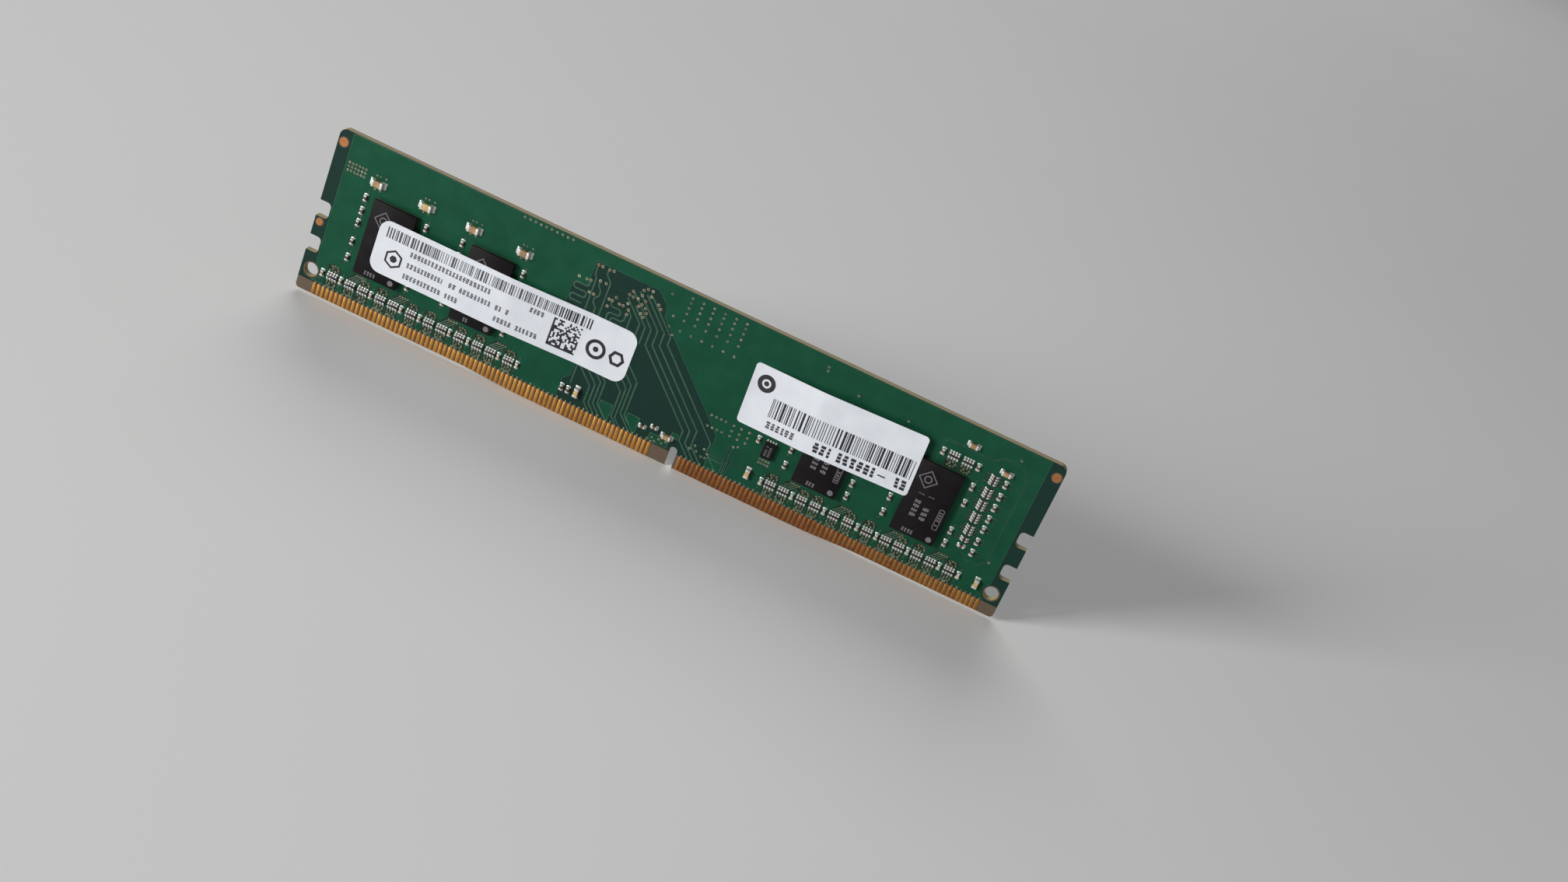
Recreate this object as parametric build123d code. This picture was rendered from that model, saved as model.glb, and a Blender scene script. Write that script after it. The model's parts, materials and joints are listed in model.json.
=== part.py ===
"""A 288-contact desktop memory module: a notched circuit card with four memory
packages, a configuration chip, resistor arrays, capacitors and two paper labels
on its front face, and gold contacts along the lower edge of both faces.

Frame: X runs along the card, Z up from the contact edge, Y through the thickness.
The front face looks along -Y. The origin is the middle of the contact edge, at
half the card's thickness. Card positions below are millimetres from the card's
left end (x) and above its lowest edge (z). Heights (low, high) are millimetres in
front of the card's mid-plane, so a height h is the plane y = -h.
"""

from build123d import *
import math
import os

# The card's outline
CARD_LENGTH = 133.35
CARD_HEIGHT = 31.25
TOP_CORNER_RADIUS = 1.3
LOW_CORNER_RADIUS = 1.0
END_RISE = 0.5
LEFT_SLOPE = (32.25, 42.45)
RIGHT_SLOPE = (96.85, 107.05)
EDGE_BEVEL_HEIGHT = 0.2
EDGE_BEVEL_DEPTH = 0.3

# Side notches, tooling holes and the keying slot
NOTCH_DEPTH = 2.2
NOTCH_HEIGHT = 3.0
NOTCH_RADIUS = 0.75
NOTCH_CENTRES = (9.5, 16.1)
HOLE_RADIUS = 1.25
HOLE_INSET = 1.95
HOLE_Z = 4.8
KEY_CENTRE = 72.25
KEY_WIDTH = 1.5
KEY_TOP = 4.0

# The stack, as heights above the mid-plane
PLANE_LOW = 0.465
CORE_HALF = 0.50
LAMINATE_HALF = 0.62
COPPER_TOP = 0.67
BARE_MASK_TOP = 0.675
FACE = 0.70

# Edge contacts
CONTACT_WIDTH = 0.60
CONTACT_PITCH = 0.85
CONTACT_TOP = 2.75
CONTACT_EDGE_GAP = 0.2
LEFT_FIRST = 3.35
LEFT_COUNT = 77
RIGHT_FIRST = 73.90
RIGHT_COUNT = 67

# Solder mask and copper pour
MASK_LOW = 2.87
POUR_LEFT = 2.45
POUR_RIGHT = CARD_LENGTH - 2.75
POUR_LOW = 3.15
POUR_EDGE_GAP = 0.12
MASK_HOLE_RADIUS = 1.5
POUR_HOLE_RADIUS = 1.7
POUR_KEY_SIDE = 1.2
POUR_KEY_OVER = 0.4
TRACE_WIDTH = 0.15
SPLIT_WIDTH = 0.2
WIDE_SPLIT_WIDTH = 0.32

# Lines of the back face: (x of a bundle's first line, its sideways step)
BACK_BUNDLES = ((24.0, 9.0), (96.0, -9.0))
BACK_BUNDLE_COUNT = 9
BACK_BUNDLE_LEVELS = (25.5, 20.5, 5.2)
BACK_LINE_SPACING = 0.75
BACK_WINDOW_MARGIN = 0.6

# Inner planes
PLANE_INSET = 3.9
PLANE_LOW_Z = 4.6
PLANE_TOP_GAP = 0.8

# Registration marks: (x, z, dot radius, mask opening radius)
MARKS = (
    (1.06, 28.9, 0.78, 0.98),
    (CARD_LENGTH - 1.06, 28.9, 0.78, 0.98),
    (0.95, 13.7, 0.62, 0.80),
)

# Memory packages
DRAM_LEFT_EDGES = (9.45, 27.80, 92.70, 110.95)
DRAM_LENGTH = 8.0
DRAM_HEIGHT = 14.0
DRAM_LOW_Z = 8.45
BALL_STANDOFF = 0.30
SUBSTRATE_THICK = 0.20
MOLD_THICK = 0.65
BALL_RADIUS = 0.225
BALL_PITCH = 0.8
BALL_ROWS = 16
BALL_COLUMNS = (-4, -3, -2, 2, 3, 4)
DIE_LENGTH = 5.4
DIE_HEIGHT = 9.2
DIE_THICK = 0.22
DRAM_TOP = FACE + BALL_STANDOFF + SUBSTRATE_THICK + MOLD_THICK

# Configuration chip
SPD_X = 87.25
SPD_Z = 11.2
SPD_LENGTH = 2.0
SPD_HEIGHT = 3.0
SPD_STANDOFF = 0.05
SPD_THICK = 0.70
SPD_PITCH = 0.5
SPD_LEAD_WIDTH = 0.25
SPD_LEAD_LENGTH = 0.55
SPD_LEAD_THICK = 0.20
SPD_LEAD_OUT = 0.12
SPD_DIE_LENGTH = 1.2
SPD_DIE_HEIGHT = 1.3
SPD_DIE_BASE = 0.25
SPD_DIE_THICK = 0.20

# Resistor arrays
ARRAY_PITCH = 0.5
ARRAY_WIDTH = 1.0
ARRAY_THICK = 0.35
ARRAY_END = 0.25
TERMINAL_WIDTH = 0.30
TERMINAL_DEPTH = 0.32
TERMINAL_PROUD = 0.03
FILM_THICK = 0.03
FILM_INSET = 0.03

# Chip capacitors: (length, width, thickness, end-cap length)
CAP_SMALL = (1.0, 0.5, 0.5, 0.25)
CAP_MEDIUM = (1.6, 0.8, 0.8, 0.35)
CAP_LARGE = (2.0, 1.15, 0.85, 0.42)
END_CAP_WALL = 0.025

# The row above the contacts: its capacitors, with one array in each short gap between
# them and two in each long gap, a share of the gap apart
ROW_Z = 5.25
LEFT_ROW_CAPS = (4.08, 7.63, 13.48, 19.33, 22.88, 28.73, 32.28, 38.13, 41.68)
RIGHT_ROW_CAPS = (88.10, 93.95, 100.00, 106.25, 109.80, 115.65, 121.50, 125.05)
LEFT_ARRAY_SHIFT = 0.12
LONG_GAP = 4.5
PAIR_SHARE = 0.42

# The address group at the right end
TOP_ROW_Z = 24.72
TOP_ROW_ARRAYS = (115.68, 118.25)
TOP_ROW_CAPS = (113.75, 120.12)
COLUMN_X = 123.3
COLUMN_ARRAYS = (23.82, 21.24, 18.8, 16.3, 13.8)
SHORT_ARRAY_Z = 11.88
COLUMN_CAP_Z = 10.5
SIDE_CAPS_X = 125.4
SIDE_CAPS_Z = (23.9, 21.5, 19.3, 17.0, 14.9, 12.4, 10.15)

# Small capacitors beside each memory package, and their distance from it
LEFT_CAPS_Z = (21.45, 18.95, 16.65, 13.05, 9.95)
RIGHT_CAPS_Z = (21.05, 17.8, 12.2, 9.65)
LEFT_CAPS_GAP = 1.95
RIGHT_CAPS_GAP = 1.65

# Other capacitors, as card positions
LARGE_CAPS = ((8.93, 24.72), (18.1, 24.72), (27.0, 24.72), (36.5, 24.72))
MEDIUM_FLAT_CAPS = ((117.9, 27.95), (124.72, 25.87), (70.35, 5.2))
MEDIUM_UPRIGHT_CAPS = ((53.05, 5.5), (85.47, 5.58), (128.35, 5.4))
MIDDLE_FLAT_CAPS = ((65.75, 5.0), (67.77, 5.8))
MIDDLE_UPRIGHT_CAPS = ((50.25, 5.2), (51.45, 5.2), (85.0, 12.22))

# Labels: centre, size, corner radius, turn in degrees, and the (x, height) points
# that the underside bends through, off the packages and down to the card
LABEL_THICK = 0.10
LABEL_BEND_RADIUS = 4.0
MAIN_LABEL = dict(
    x=35.8, z=15.2, length=48.0, height=9.74, radius=2.0, turn=0.0,
    bends=((5.0, DRAM_TOP), (36.3, DRAM_TOP), (51.0, FACE), (65.0, FACE)),
)
PART_LABEL = dict(
    x=95.55, z=19.95, length=31.3, height=11.45, radius=0.7, turn=2.2,
    bends=((75.0, FACE), (80.8, FACE), (92.3, DRAM_TOP), (115.0, DRAM_TOP)),
)


def layer(sketch, low, high):
    """Solid of a card sketch between two heights."""
    placed = Plane.XZ.offset(low) * Pos(-CARD_LENGTH / 2, 0) * sketch
    return extrude(placed, amount=high - low, dir=(0, -1, 0))


def block(x, z, length, height, low, high):
    """Box centred at (x, z) on the card, between two heights."""
    place = Pos(x - CARD_LENGTH / 2, -(low + high) / 2, z)
    return place * Box(length, high - low, height)


def polygon(points):
    return make_face(Polyline(*points, close=True))


def disc(x, z, radius):
    return Pos(x, z) * Circle(radius)


def rectangle(x_low, x_high, z_low, z_high):
    centre = Pos((x_low + x_high) / 2, (z_low + z_high) / 2)
    return centre * Rectangle(x_high - x_low, z_high - z_low)


def ribbon(points, width):
    """Strip of even width along a chain of points, with mitred corners."""
    headings = [math.atan2(z1 - z0, x1 - x0) for (x0, z0), (x1, z1) in zip(points, points[1:])]
    left = []
    right = []
    for (x, z), into, out in zip(points, headings[:1] + headings, headings + headings[-1:]):
        half_turn = math.remainder(out - into, math.tau) / 2
        reach = width / 2 / math.cos(half_turn)
        across_x = -math.sin(into + half_turn) * reach
        across_z = math.cos(into + half_turn) * reach
        left.append((x + across_x, z + across_z))
        right.append((x - across_x, z - across_z))
    return polygon(left + right[::-1])


def edge_points():
    """Breaks of the lower edge: low in the middle, END_RISE higher at both ends."""
    return (
        (0.0, END_RISE),
        (LEFT_SLOPE[0], END_RISE),
        (LEFT_SLOPE[1], 0.0),
        (RIGHT_SLOPE[0], 0.0),
        (RIGHT_SLOPE[1], END_RISE),
        (CARD_LENGTH, END_RISE),
    )


def edge_height(x):
    """Height of the lower edge at x."""
    points = edge_points()
    for (x0, z0), (x1, z1) in zip(points, points[1:]):
        if x <= x1:
            return z0 + (z1 - z0) * (x - x0) / (x1 - x0)
    return points[-1][1]


def corner(x_sign, z_sign, radius):
    """What rounding takes off one corner of the card."""
    x = 0.0 if x_sign < 0 else CARD_LENGTH
    z = END_RISE if z_sign < 0 else CARD_HEIGHT
    square = Pos(x - x_sign * radius / 2, z - z_sign * radius / 2) * Rectangle(radius, radius)
    return square - disc(x - x_sign * radius, z - z_sign * radius, radius)


def side_notch(z, side):
    """Latch notch open at one end of the card, with rounded inner corners."""
    x = 0.0 if side < 0 else CARD_LENGTH
    return Pos(x, z) * RectangleRounded(2 * NOTCH_DEPTH, NOTCH_HEIGHT, NOTCH_RADIUS)


def key_slot():
    """Keying slot, open below, with a round top."""
    half = KEY_WIDTH / 2
    straight = rectangle(KEY_CENTRE - half, KEY_CENTRE + half, -1, KEY_TOP - half)
    return straight + disc(KEY_CENTRE, KEY_TOP - half, half)


def card_outline():
    """Outline with its corners, side notches and key slot, without the holes."""
    top = [(CARD_LENGTH, CARD_HEIGHT), (0.0, CARD_HEIGHT)]
    outline = polygon(list(edge_points()) + top)
    cuts = [key_slot()]
    for side in (-1, 1):
        cuts.append(corner(side, 1, TOP_CORNER_RADIUS))
        cuts.append(corner(side, -1, LOW_CORNER_RADIUS))
        for z in NOTCH_CENTRES:
            cuts.append(side_notch(z, side))
    return outline - cuts


def hole_discs(radius):
    return [disc(HOLE_INSET, HOLE_Z, radius), disc(CARD_LENGTH - HOLE_INSET, HOLE_Z, radius)]


def bevel_cutters():
    """Wedges that bevel the lower edge on both faces."""
    wedges = []
    points = edge_points()
    overrun = 0.5
    for (x0, z0), (x1, z1) in zip(points, points[1:]):
        length = math.hypot(x1 - x0, z1 - z0)
        along = ((x1 - x0) / length, 0.0, (z1 - z0) / length)
        start = (x0 - CARD_LENGTH / 2, 0.0, z0)
        for side in (-1, 1):
            section = Plane(origin=start, x_dir=(0, side, 0), z_dir=along)
            up = 1.0 if section.y_dir.Z > 0 else -1.0
            outer = LAMINATE_HALF
            corners = [
                (outer - EDGE_BEVEL_DEPTH, 0.0),
                (outer, EDGE_BEVEL_HEIGHT * up),
                (outer + overrun, EDGE_BEVEL_HEIGHT * up),
                (outer + overrun, -overrun * up),
                (outer - EDGE_BEVEL_DEPTH, -overrun * up),
            ]
            wedges.append(extrude(section * polygon(corners), amount=length))
    return wedges


def laminate(low, high):
    sheet = layer(card_outline() - hole_discs(HOLE_RADIUS), low, high)
    for wedge in bevel_cutters():
        sheet -= wedge
    return sheet


def plane_sheet(low, high):
    """Buried copper plane, pulled back from the card's edges, holes and slot."""
    sheet = rectangle(
        PLANE_INSET, CARD_LENGTH - PLANE_INSET, PLANE_LOW_Z, CARD_HEIGHT - PLANE_TOP_GAP
    )
    return layer(sheet, low, high)


# ---------------------------------------------------------------------------
# Outer copper
# ---------------------------------------------------------------------------

def trace_window():
    """The opening in the front pour that the command and address lines cross."""
    return polygon([
        (48.4, 29.0), (60.1, 29.0), (62.2, 27.0), (62.5, 25.0), (77.4, 10.1), (78.1, 9.2),
        (78.1, POUR_LOW - 1), (49.8, POUR_LOW - 1), (49.8, 6.8), (51.0, 7.9), (51.0, 11.8),
        (45.8, 17.0), (45.8, 24.4), (48.4, 24.4),
    ])


def window_islands():
    """Small pours left standing inside the window, between the lines."""
    return [
        polygon([(57.45, 6.15), (59.65, 6.15), (59.65, POUR_LOW), (59.3, POUR_LOW), (57.45, 5.0)]),
        polygon([(62.6, 6.15), (64.85, 6.15), (64.85, POUR_LOW), (64.5, POUR_LOW), (62.6, 5.1)]),
        rectangle(71.0, 72.1, 5.4, 6.4),
        rectangle(67.4, 70.9, POUR_LOW, 4.6),
    ]


def lane(start_x, top_z, foot_x, foot_z, drop_z):
    """One line that runs down, crosses at 45 degrees, and runs down to its contact."""
    cross_z = top_z - (foot_x - start_x)
    return [
        (start_x, top_z),
        (foot_x, cross_z),
        (foot_x, foot_z),
        (foot_x + foot_z - drop_z, drop_z),
    ]


def meander(x_left, x_right, z_top, pitch, runs, start):
    """Back-and-forth line with cut corners, from a start point at its upper right."""
    cut = 0.3
    points = [start, (x_right, z_top + cut), (x_right - cut, z_top)]
    z = z_top
    for run in range(runs):
        going_left = run % 2 == 0
        end = x_left if going_left else x_right
        inward = cut if going_left else -cut
        points.append((end + inward, z))
        if run < runs - 1:
            points.append((end, z - cut))
            points.append((end, z - pitch + cut))
            points.append((end + inward, z - pitch))
        z -= pitch
    return points


def address_lines():
    """Centre lines of the lines on the front face, as chains of card points."""
    low = POUR_LOW
    lines = []
    # The four long diagonals: (column x, column top, column foot, last column x)
    for x, top, foot, last in (
        (61.1, 21.9, 18.9, 72.5),
        (62.2, 22.2, 19.4, 73.6),
        (63.4, 22.3, 19.9, 74.75),
        (64.6, 22.2, 20.7, 77.7),
    ):
        rise = min(27.3 - top, 5.2)
        lines.append([(x - rise, top + rise), (x, top)] + lane(x, foot, last, 5.6, low))
    # Lines that come out under the main label's right end
    for x, top in ((62.15, 12.0), (61.4, 11.0), (60.75, 10.15), (60.05, 9.1)):
        foot = 4.2 if x < 61 else 5.4
        lines.append([(x - 2.6, top + 2.6), (x, top), (x, foot), (x + foot - low, low)])
    # Lines that come out under the main label's lower edge
    for x, top, foot in (
        (54.75, 7.6, 4.4),
        (55.55, 8.3, 4.6),
        (56.3, 9.1, 4.9),
        (57.05, 9.5, 5.2),
    ):
        lines.append([(x - 3.2, top + 3.2), (x, top), (x, foot), (x + foot - low, low)])
    lines.append([(51.45, 12.5), (51.45, 6.6)])
    # Columns that go under the main label from above
    for x, top, lead in ((58.9, 22.0, 3.4), (60.0, 21.8, 2.8), (57.1, 22.6, 0.7)):
        lines.append([(x - lead, top + lead), (x, top), (x, 18.6)])
    # Left side: two straight lines and one that weaves
    lines.append([(48.9, 28.4), (48.9, 26.8), (49.35, 26.2), (49.35, 18.6)])
    lines.append([(50.85, 28.4), (50.85, 27.6), (51.9, 26.4), (51.9, 18.6)])
    lines.append([
        (50.15, 25.9), (50.2, 25.1), (50.8, 24.3), (50.8, 23.4), (50.2, 22.7), (50.2, 22.0),
        (50.9, 21.2), (50.9, 18.6),
    ])
    lines.append(meander(46.1, 48.65, 24.15, 1.1, 4, (48.6, 25.4)))
    lines.append([
        (53.2, 23.6), (53.2, 23.0), (53.5, 22.7), (54.9, 22.7), (55.25, 22.4), (55.25, 21.9),
        (54.9, 21.6), (53.6, 21.6), (53.2, 21.2), (53.2, 18.6),
    ])
    lines.append([(56.2, 22.5), (56.2, 21.3), (55.8, 20.9), (54.3, 20.9), (54.0, 20.6), (54.0, 18.6)])
    return lines


def split_lines():
    """Narrow gaps that part the front pour into areas, as chains of card points."""
    return [
        [
            (113.2, 22.6), (113.2, 26.5), (113.7, 27.0), (122.1, 27.0), (123.25, 28.15),
            (126.6, 28.15), (128.25, 26.5), (128.25, 9.7), (127.0, 8.45), (125.0, 8.45),
            (124.2, 9.25),
        ],
        [(78.2, 5.0), (81.0, 5.0)],
    ]


def wide_split_lines():
    """Wider gaps, two of them along the sides of one line."""
    return [
        [(78.0, 5.85), (87.6, 5.85)],
        [(81.1, POUR_LOW - 1), (81.1, 8.6), (81.5, 9.1)],
        [(81.8, POUR_LOW - 1), (81.8, 8.3)],
    ]


def pour_blank():
    blank = rectangle(POUR_LEFT, POUR_RIGHT, POUR_LOW, CARD_HEIGHT - POUR_EDGE_GAP)
    key_clear = rectangle(
        KEY_CENTRE - POUR_KEY_SIDE, KEY_CENTRE + POUR_KEY_SIDE, POUR_LOW - 1, KEY_TOP + POUR_KEY_OVER
    )
    return blank - hole_discs(POUR_HOLE_RADIUS) - key_clear


def front_copper():
    """Pour areas, islands and lines of the front face, as one list of sketches."""
    pour = pour_blank() - trace_window()
    for gap in split_lines():
        pour -= ribbon(gap, SPLIT_WIDTH)
    for gap in wide_split_lines():
        pour -= ribbon(gap, WIDE_SPLIT_WIDTH)
    lines = [ribbon(points, TRACE_WIDTH) for points in address_lines()]
    return list(pour.faces()) + window_islands() + lines


def back_bundle_route(x, shift):
    """Chain of a back-face line that steps sideways by shift at 45 degrees."""
    top, bend, foot = BACK_BUNDLE_LEVELS
    return [(x, top), (x, bend), (x + shift, bend - abs(shift)), (x + shift, foot)]


def back_lines():
    """Lines of the back face, in bundles of parallel lines."""
    lines = []
    for start, shift in BACK_BUNDLES:
        for i in range(BACK_BUNDLE_COUNT):
            lines.append(back_bundle_route(start + i * BACK_LINE_SPACING, shift))
    return lines


def back_windows():
    """Opening in the back pour round each bundle of lines."""
    width = (BACK_BUNDLE_COUNT - 1) * BACK_LINE_SPACING + 2 * BACK_WINDOW_MARGIN
    windows = []
    for start, shift in BACK_BUNDLES:
        middle = start + (BACK_BUNDLE_COUNT - 1) * BACK_LINE_SPACING / 2
        route = back_bundle_route(middle, shift)
        (x_top, z_top), (x_foot, z_foot) = route[0], route[-1]
        route[0] = (x_top, z_top + BACK_WINDOW_MARGIN)
        route[-1] = (x_foot, z_foot - BACK_WINDOW_MARGIN)
        windows.append(ribbon(route, width))
    return windows


def back_copper():
    pour = pour_blank()
    for window in back_windows():
        pour -= window
    return list(pour.faces()) + [ribbon(points, TRACE_WIDTH) for points in back_lines()]


def mask_sheet(copper, marks):
    """Solder mask that steps up where it covers copper, in front-face heights."""
    outline = card_outline() - hole_discs(MASK_HOLE_RADIUS)
    outline -= rectangle(-1, CARD_LENGTH + 1, -1, MASK_LOW)
    for x, z, _, opening in marks:
        outline -= disc(x, z, opening)
    bare = outline - copper
    over_copper = [layer(face, COPPER_TOP, FACE) for face in copper]
    mask = layer(bare, LAMINATE_HALF, BARE_MASK_TOP)
    return mask + over_copper


def to_back(solids):
    """The same pieces on the back face, without changing their card positions."""
    return [mirror(solid, about=Plane.XZ) for solid in solids]


def contact_row(first, count):
    """Gold contacts whose lower ends follow the card's edge."""
    pads = []
    for i in range(count):
        x = first + i * CONTACT_PITCH
        half = CONTACT_WIDTH / 2
        low_left = edge_height(x - half) + CONTACT_EDGE_GAP
        low_right = edge_height(x + half) + CONTACT_EDGE_GAP
        face = polygon([
            (x - half, low_left), (x + half, low_right), (x + half, CONTACT_TOP),
            (x - half, CONTACT_TOP),
        ])
        pads.append(layer(face, LAMINATE_HALF, FACE))
    return pads


def mark_dots():
    return [layer(disc(x, z, dot), LAMINATE_HALF, COPPER_TOP) for x, z, dot, _ in MARKS]


# ---------------------------------------------------------------------------
# Memory packages and configuration chip
# ---------------------------------------------------------------------------

def solder_ball():
    """Ball flattened onto the card below and the package above."""
    ball = Sphere(BALL_RADIUS)
    slice_box = Box(1.0, BALL_STANDOFF, 1.0)
    return ball & slice_box


def dram(left_edge):
    """The four kinds of piece in one memory package."""
    x = left_edge + DRAM_LENGTH / 2
    z = DRAM_LOW_Z + DRAM_HEIGHT / 2
    substrate_low = FACE + BALL_STANDOFF
    substrate_top = substrate_low + SUBSTRATE_THICK
    die = block(x, z, DIE_LENGTH, DIE_HEIGHT, substrate_top, substrate_top + DIE_THICK)
    mold = block(x, z, DRAM_LENGTH, DRAM_HEIGHT, substrate_top, DRAM_TOP) - die
    substrate = block(x, z, DRAM_LENGTH, DRAM_HEIGHT, substrate_low, substrate_top)
    ball = solder_ball()
    balls = []
    for row in range(BALL_ROWS):
        ball_z = z + (row - (BALL_ROWS - 1) / 2) * BALL_PITCH
        for column in BALL_COLUMNS:
            ball_x = x - CARD_LENGTH / 2 + column * BALL_PITCH
            balls.append(Pos(ball_x, -(FACE + BALL_STANDOFF / 2), ball_z) * ball)
    return {"mold_cap": [mold], "substrate": [substrate], "die": [die], "solder_balls": balls}


def spd():
    """Small leadless chip: moulded body, die and eight leads at its short sides."""
    low = FACE + SPD_STANDOFF
    top = low + SPD_THICK
    leads = []
    for side in (-1, 1):
        z = SPD_Z + side * (SPD_HEIGHT / 2 + SPD_LEAD_OUT - SPD_LEAD_LENGTH / 2)
        for i in range(4):
            x = SPD_X + (i - 1.5) * SPD_PITCH
            leads.append(block(x, z, SPD_LEAD_WIDTH, SPD_LEAD_LENGTH, FACE, FACE + SPD_LEAD_THICK))
    die_low = low + SPD_DIE_BASE
    die = block(SPD_X, SPD_Z, SPD_DIE_LENGTH, SPD_DIE_HEIGHT, die_low, die_low + SPD_DIE_THICK)
    body = block(SPD_X, SPD_Z, SPD_LENGTH, SPD_HEIGHT, low, top) - die - leads
    return {"spd_body": [body], "spd_die": [die], "spd_leads": leads}


# ---------------------------------------------------------------------------
# Resistor arrays and capacitors
# ---------------------------------------------------------------------------

def array_pieces(count):
    """Ceramic, overcoat and terminals of an array, centred, elements along X."""
    length = (count - 1) * ARRAY_PITCH + 2 * ARRAY_END
    top = FACE + ARRAY_THICK
    terminal_thick = ARRAY_THICK + TERMINAL_PROUD
    terminal_depth = TERMINAL_DEPTH + TERMINAL_PROUD
    terminals = []
    for side in (-1, 1):
        edge = side * ARRAY_WIDTH / 2
        for i in range(count):
            x = (i - (count - 1) / 2) * ARRAY_PITCH
            middle = edge + side * (TERMINAL_PROUD - TERMINAL_DEPTH) / 2
            spot = Pos(x, -(FACE + terminal_thick / 2), middle)
            terminals.append(spot * Box(TERMINAL_WIDTH, terminal_thick, terminal_depth))
    ceramic = Pos(0, -(FACE + ARRAY_THICK / 2), 0) * Box(length, ARRAY_THICK, ARRAY_WIDTH)
    ceramic -= terminals
    film_width = ARRAY_WIDTH - 2 * TERMINAL_DEPTH
    film_length = length - 2 * FILM_INSET
    film = Pos(0, -(top + FILM_THICK / 2), 0) * Box(film_length, FILM_THICK, film_width)
    return {"ceramic": [ceramic], "overcoat": [film], "terminals": terminals}


def capacitor_pieces(size):
    """Ceramic block and its two wrapped end caps, centred, long axis along X."""
    length, width, thick, cap_length = size
    wall = END_CAP_WALL
    low = FACE + wall
    high = FACE + thick - wall
    middle = -(low + high) / 2
    body = Pos(0, middle, 0) * Box(length - 2 * wall, high - low, width - 2 * wall)
    caps = []
    for side in (-1, 1):
        x = side * (length - cap_length) / 2
        cup = Pos(x, -(FACE + thick / 2), 0) * Box(cap_length, thick, width)
        caps.append(cup - body)
    return {"ceramic": [body], "end_caps": caps}


def place(pieces, x, z, upright=False):
    """Copies of the pieces at a card position, turned a quarter if upright."""
    turn = Rot(0, 90, 0) if upright else Rot(0, 0, 0)
    spot = Pos(x - CARD_LENGTH / 2, 0, z) * turn
    return {kind: [spot * solid for solid in solids] for kind, solids in pieces.items()}


def gather(groups):
    """One dictionary of lists from many."""
    total = {}
    for group in groups:
        for kind, solids in group.items():
            total.setdefault(kind, []).extend(solids)
    return total


def row_arrays(caps, shift):
    """Where the arrays stand between the capacitors of one row."""
    arrays = []
    for x0, x1 in zip(caps, caps[1:]):
        middle = (x0 + x1) / 2 + shift
        half = PAIR_SHARE * (x1 - x0) / 2
        arrays += [middle - half, middle + half] if x1 - x0 > LONG_GAP else [middle]
    return arrays


def contact_rows():
    """Arrays of both rows, and the capacitors between them."""
    array = array_pieces(4)
    small = capacitor_pieces(CAP_SMALL)
    left = row_arrays(LEFT_ROW_CAPS, LEFT_ARRAY_SHIFT)
    right = row_arrays(RIGHT_ROW_CAPS, 0.0)
    caps = LEFT_ROW_CAPS + RIGHT_ROW_CAPS
    return {
        "data_resistors_left": gather(place(array, x, ROW_Z) for x in left),
        "data_resistors_right": gather(place(array, x, ROW_Z) for x in right),
        "contact_row_capacitors": gather(place(small, x, ROW_Z, upright=True) for x in caps),
    }


def address_group():
    """Terminating arrays and capacitors round the rightmost memory package."""
    array = array_pieces(4)
    short = array_pieces(2)
    small = capacitor_pieces(CAP_SMALL)
    arrays = [place(array, x, TOP_ROW_Z) for x in TOP_ROW_ARRAYS]
    arrays += [place(array, COLUMN_X, z, upright=True) for z in COLUMN_ARRAYS]
    arrays.append(place(short, COLUMN_X, SHORT_ARRAY_Z, upright=True))
    caps = [place(small, x, TOP_ROW_Z, upright=True) for x in TOP_ROW_CAPS]
    caps.append(place(small, COLUMN_X, COLUMN_CAP_Z))
    caps += [place(small, SIDE_CAPS_X, z, upright=True) for z in SIDE_CAPS_Z]
    return {"address_resistors": gather(arrays), "address_capacitors": gather(caps)}


def decoupling_capacitors(left_edges):
    small = capacitor_pieces(CAP_SMALL)
    groups = []
    for left_edge in left_edges:
        left_x = left_edge - LEFT_CAPS_GAP
        right_x = left_edge + DRAM_LENGTH + RIGHT_CAPS_GAP
        groups += [place(small, left_x, z, upright=True) for z in LEFT_CAPS_Z]
        groups += [place(small, right_x, z, upright=True) for z in RIGHT_CAPS_Z]
    return gather(groups)


def supply_capacitors():
    """Larger capacitors: four over the left packages, and the others round the card."""
    large = capacitor_pieces(CAP_LARGE)
    medium = capacitor_pieces(CAP_MEDIUM)
    return {
        "large_supply_capacitors": gather(place(large, x, z) for x, z in LARGE_CAPS),
        "medium_supply_capacitors": gather(
            [place(medium, x, z) for x, z in MEDIUM_FLAT_CAPS]
            + [place(medium, x, z, upright=True) for x, z in MEDIUM_UPRIGHT_CAPS]
        ),
    }


def middle_capacitors():
    """Small capacitors in the middle of the contact row and beside the chip."""
    small = capacitor_pieces(CAP_SMALL)
    return {
        "middle_capacitors": gather(
            [place(small, x, z, upright=True) for x, z in MIDDLE_UPRIGHT_CAPS]
            + [place(small, x, z) for x, z in MIDDLE_FLAT_CAPS]
        )
    }


# ---------------------------------------------------------------------------
# Labels
# ---------------------------------------------------------------------------

def sheet_section(wire, thick):
    """Face between a wire in the XY plane and its offset further from the card."""
    outer = offset(wire, amount=thick, side=Side.RIGHT, closed=False)
    ends = [Line(wire @ 0, outer @ 0), Line(wire @ 1, outer @ 1)]
    return make_face([*wire.edges(), *outer.edges(), *ends])


def bent_label(spec):
    """Thin sheet whose underside follows the label's bends, cut to its outline."""
    underside = [(x - CARD_LENGTH / 2, -h) for x, h in spec["bends"]]
    bends = FilletPolyline(*underside, radius=LABEL_BEND_RADIUS)
    strip = extrude(sheet_section(bends, LABEL_THICK), amount=CARD_HEIGHT, dir=(0, 0, 1))
    outline = Pos(spec["x"], spec["z"]) * Rot(0, 0, spec["turn"])
    outline *= RectangleRounded(spec["length"], spec["height"], spec["radius"])
    return strip & layer(outline, 0, DRAM_TOP + 2 * LABEL_THICK)


# ---------------------------------------------------------------------------
# All nodes
# ---------------------------------------------------------------------------

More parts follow.
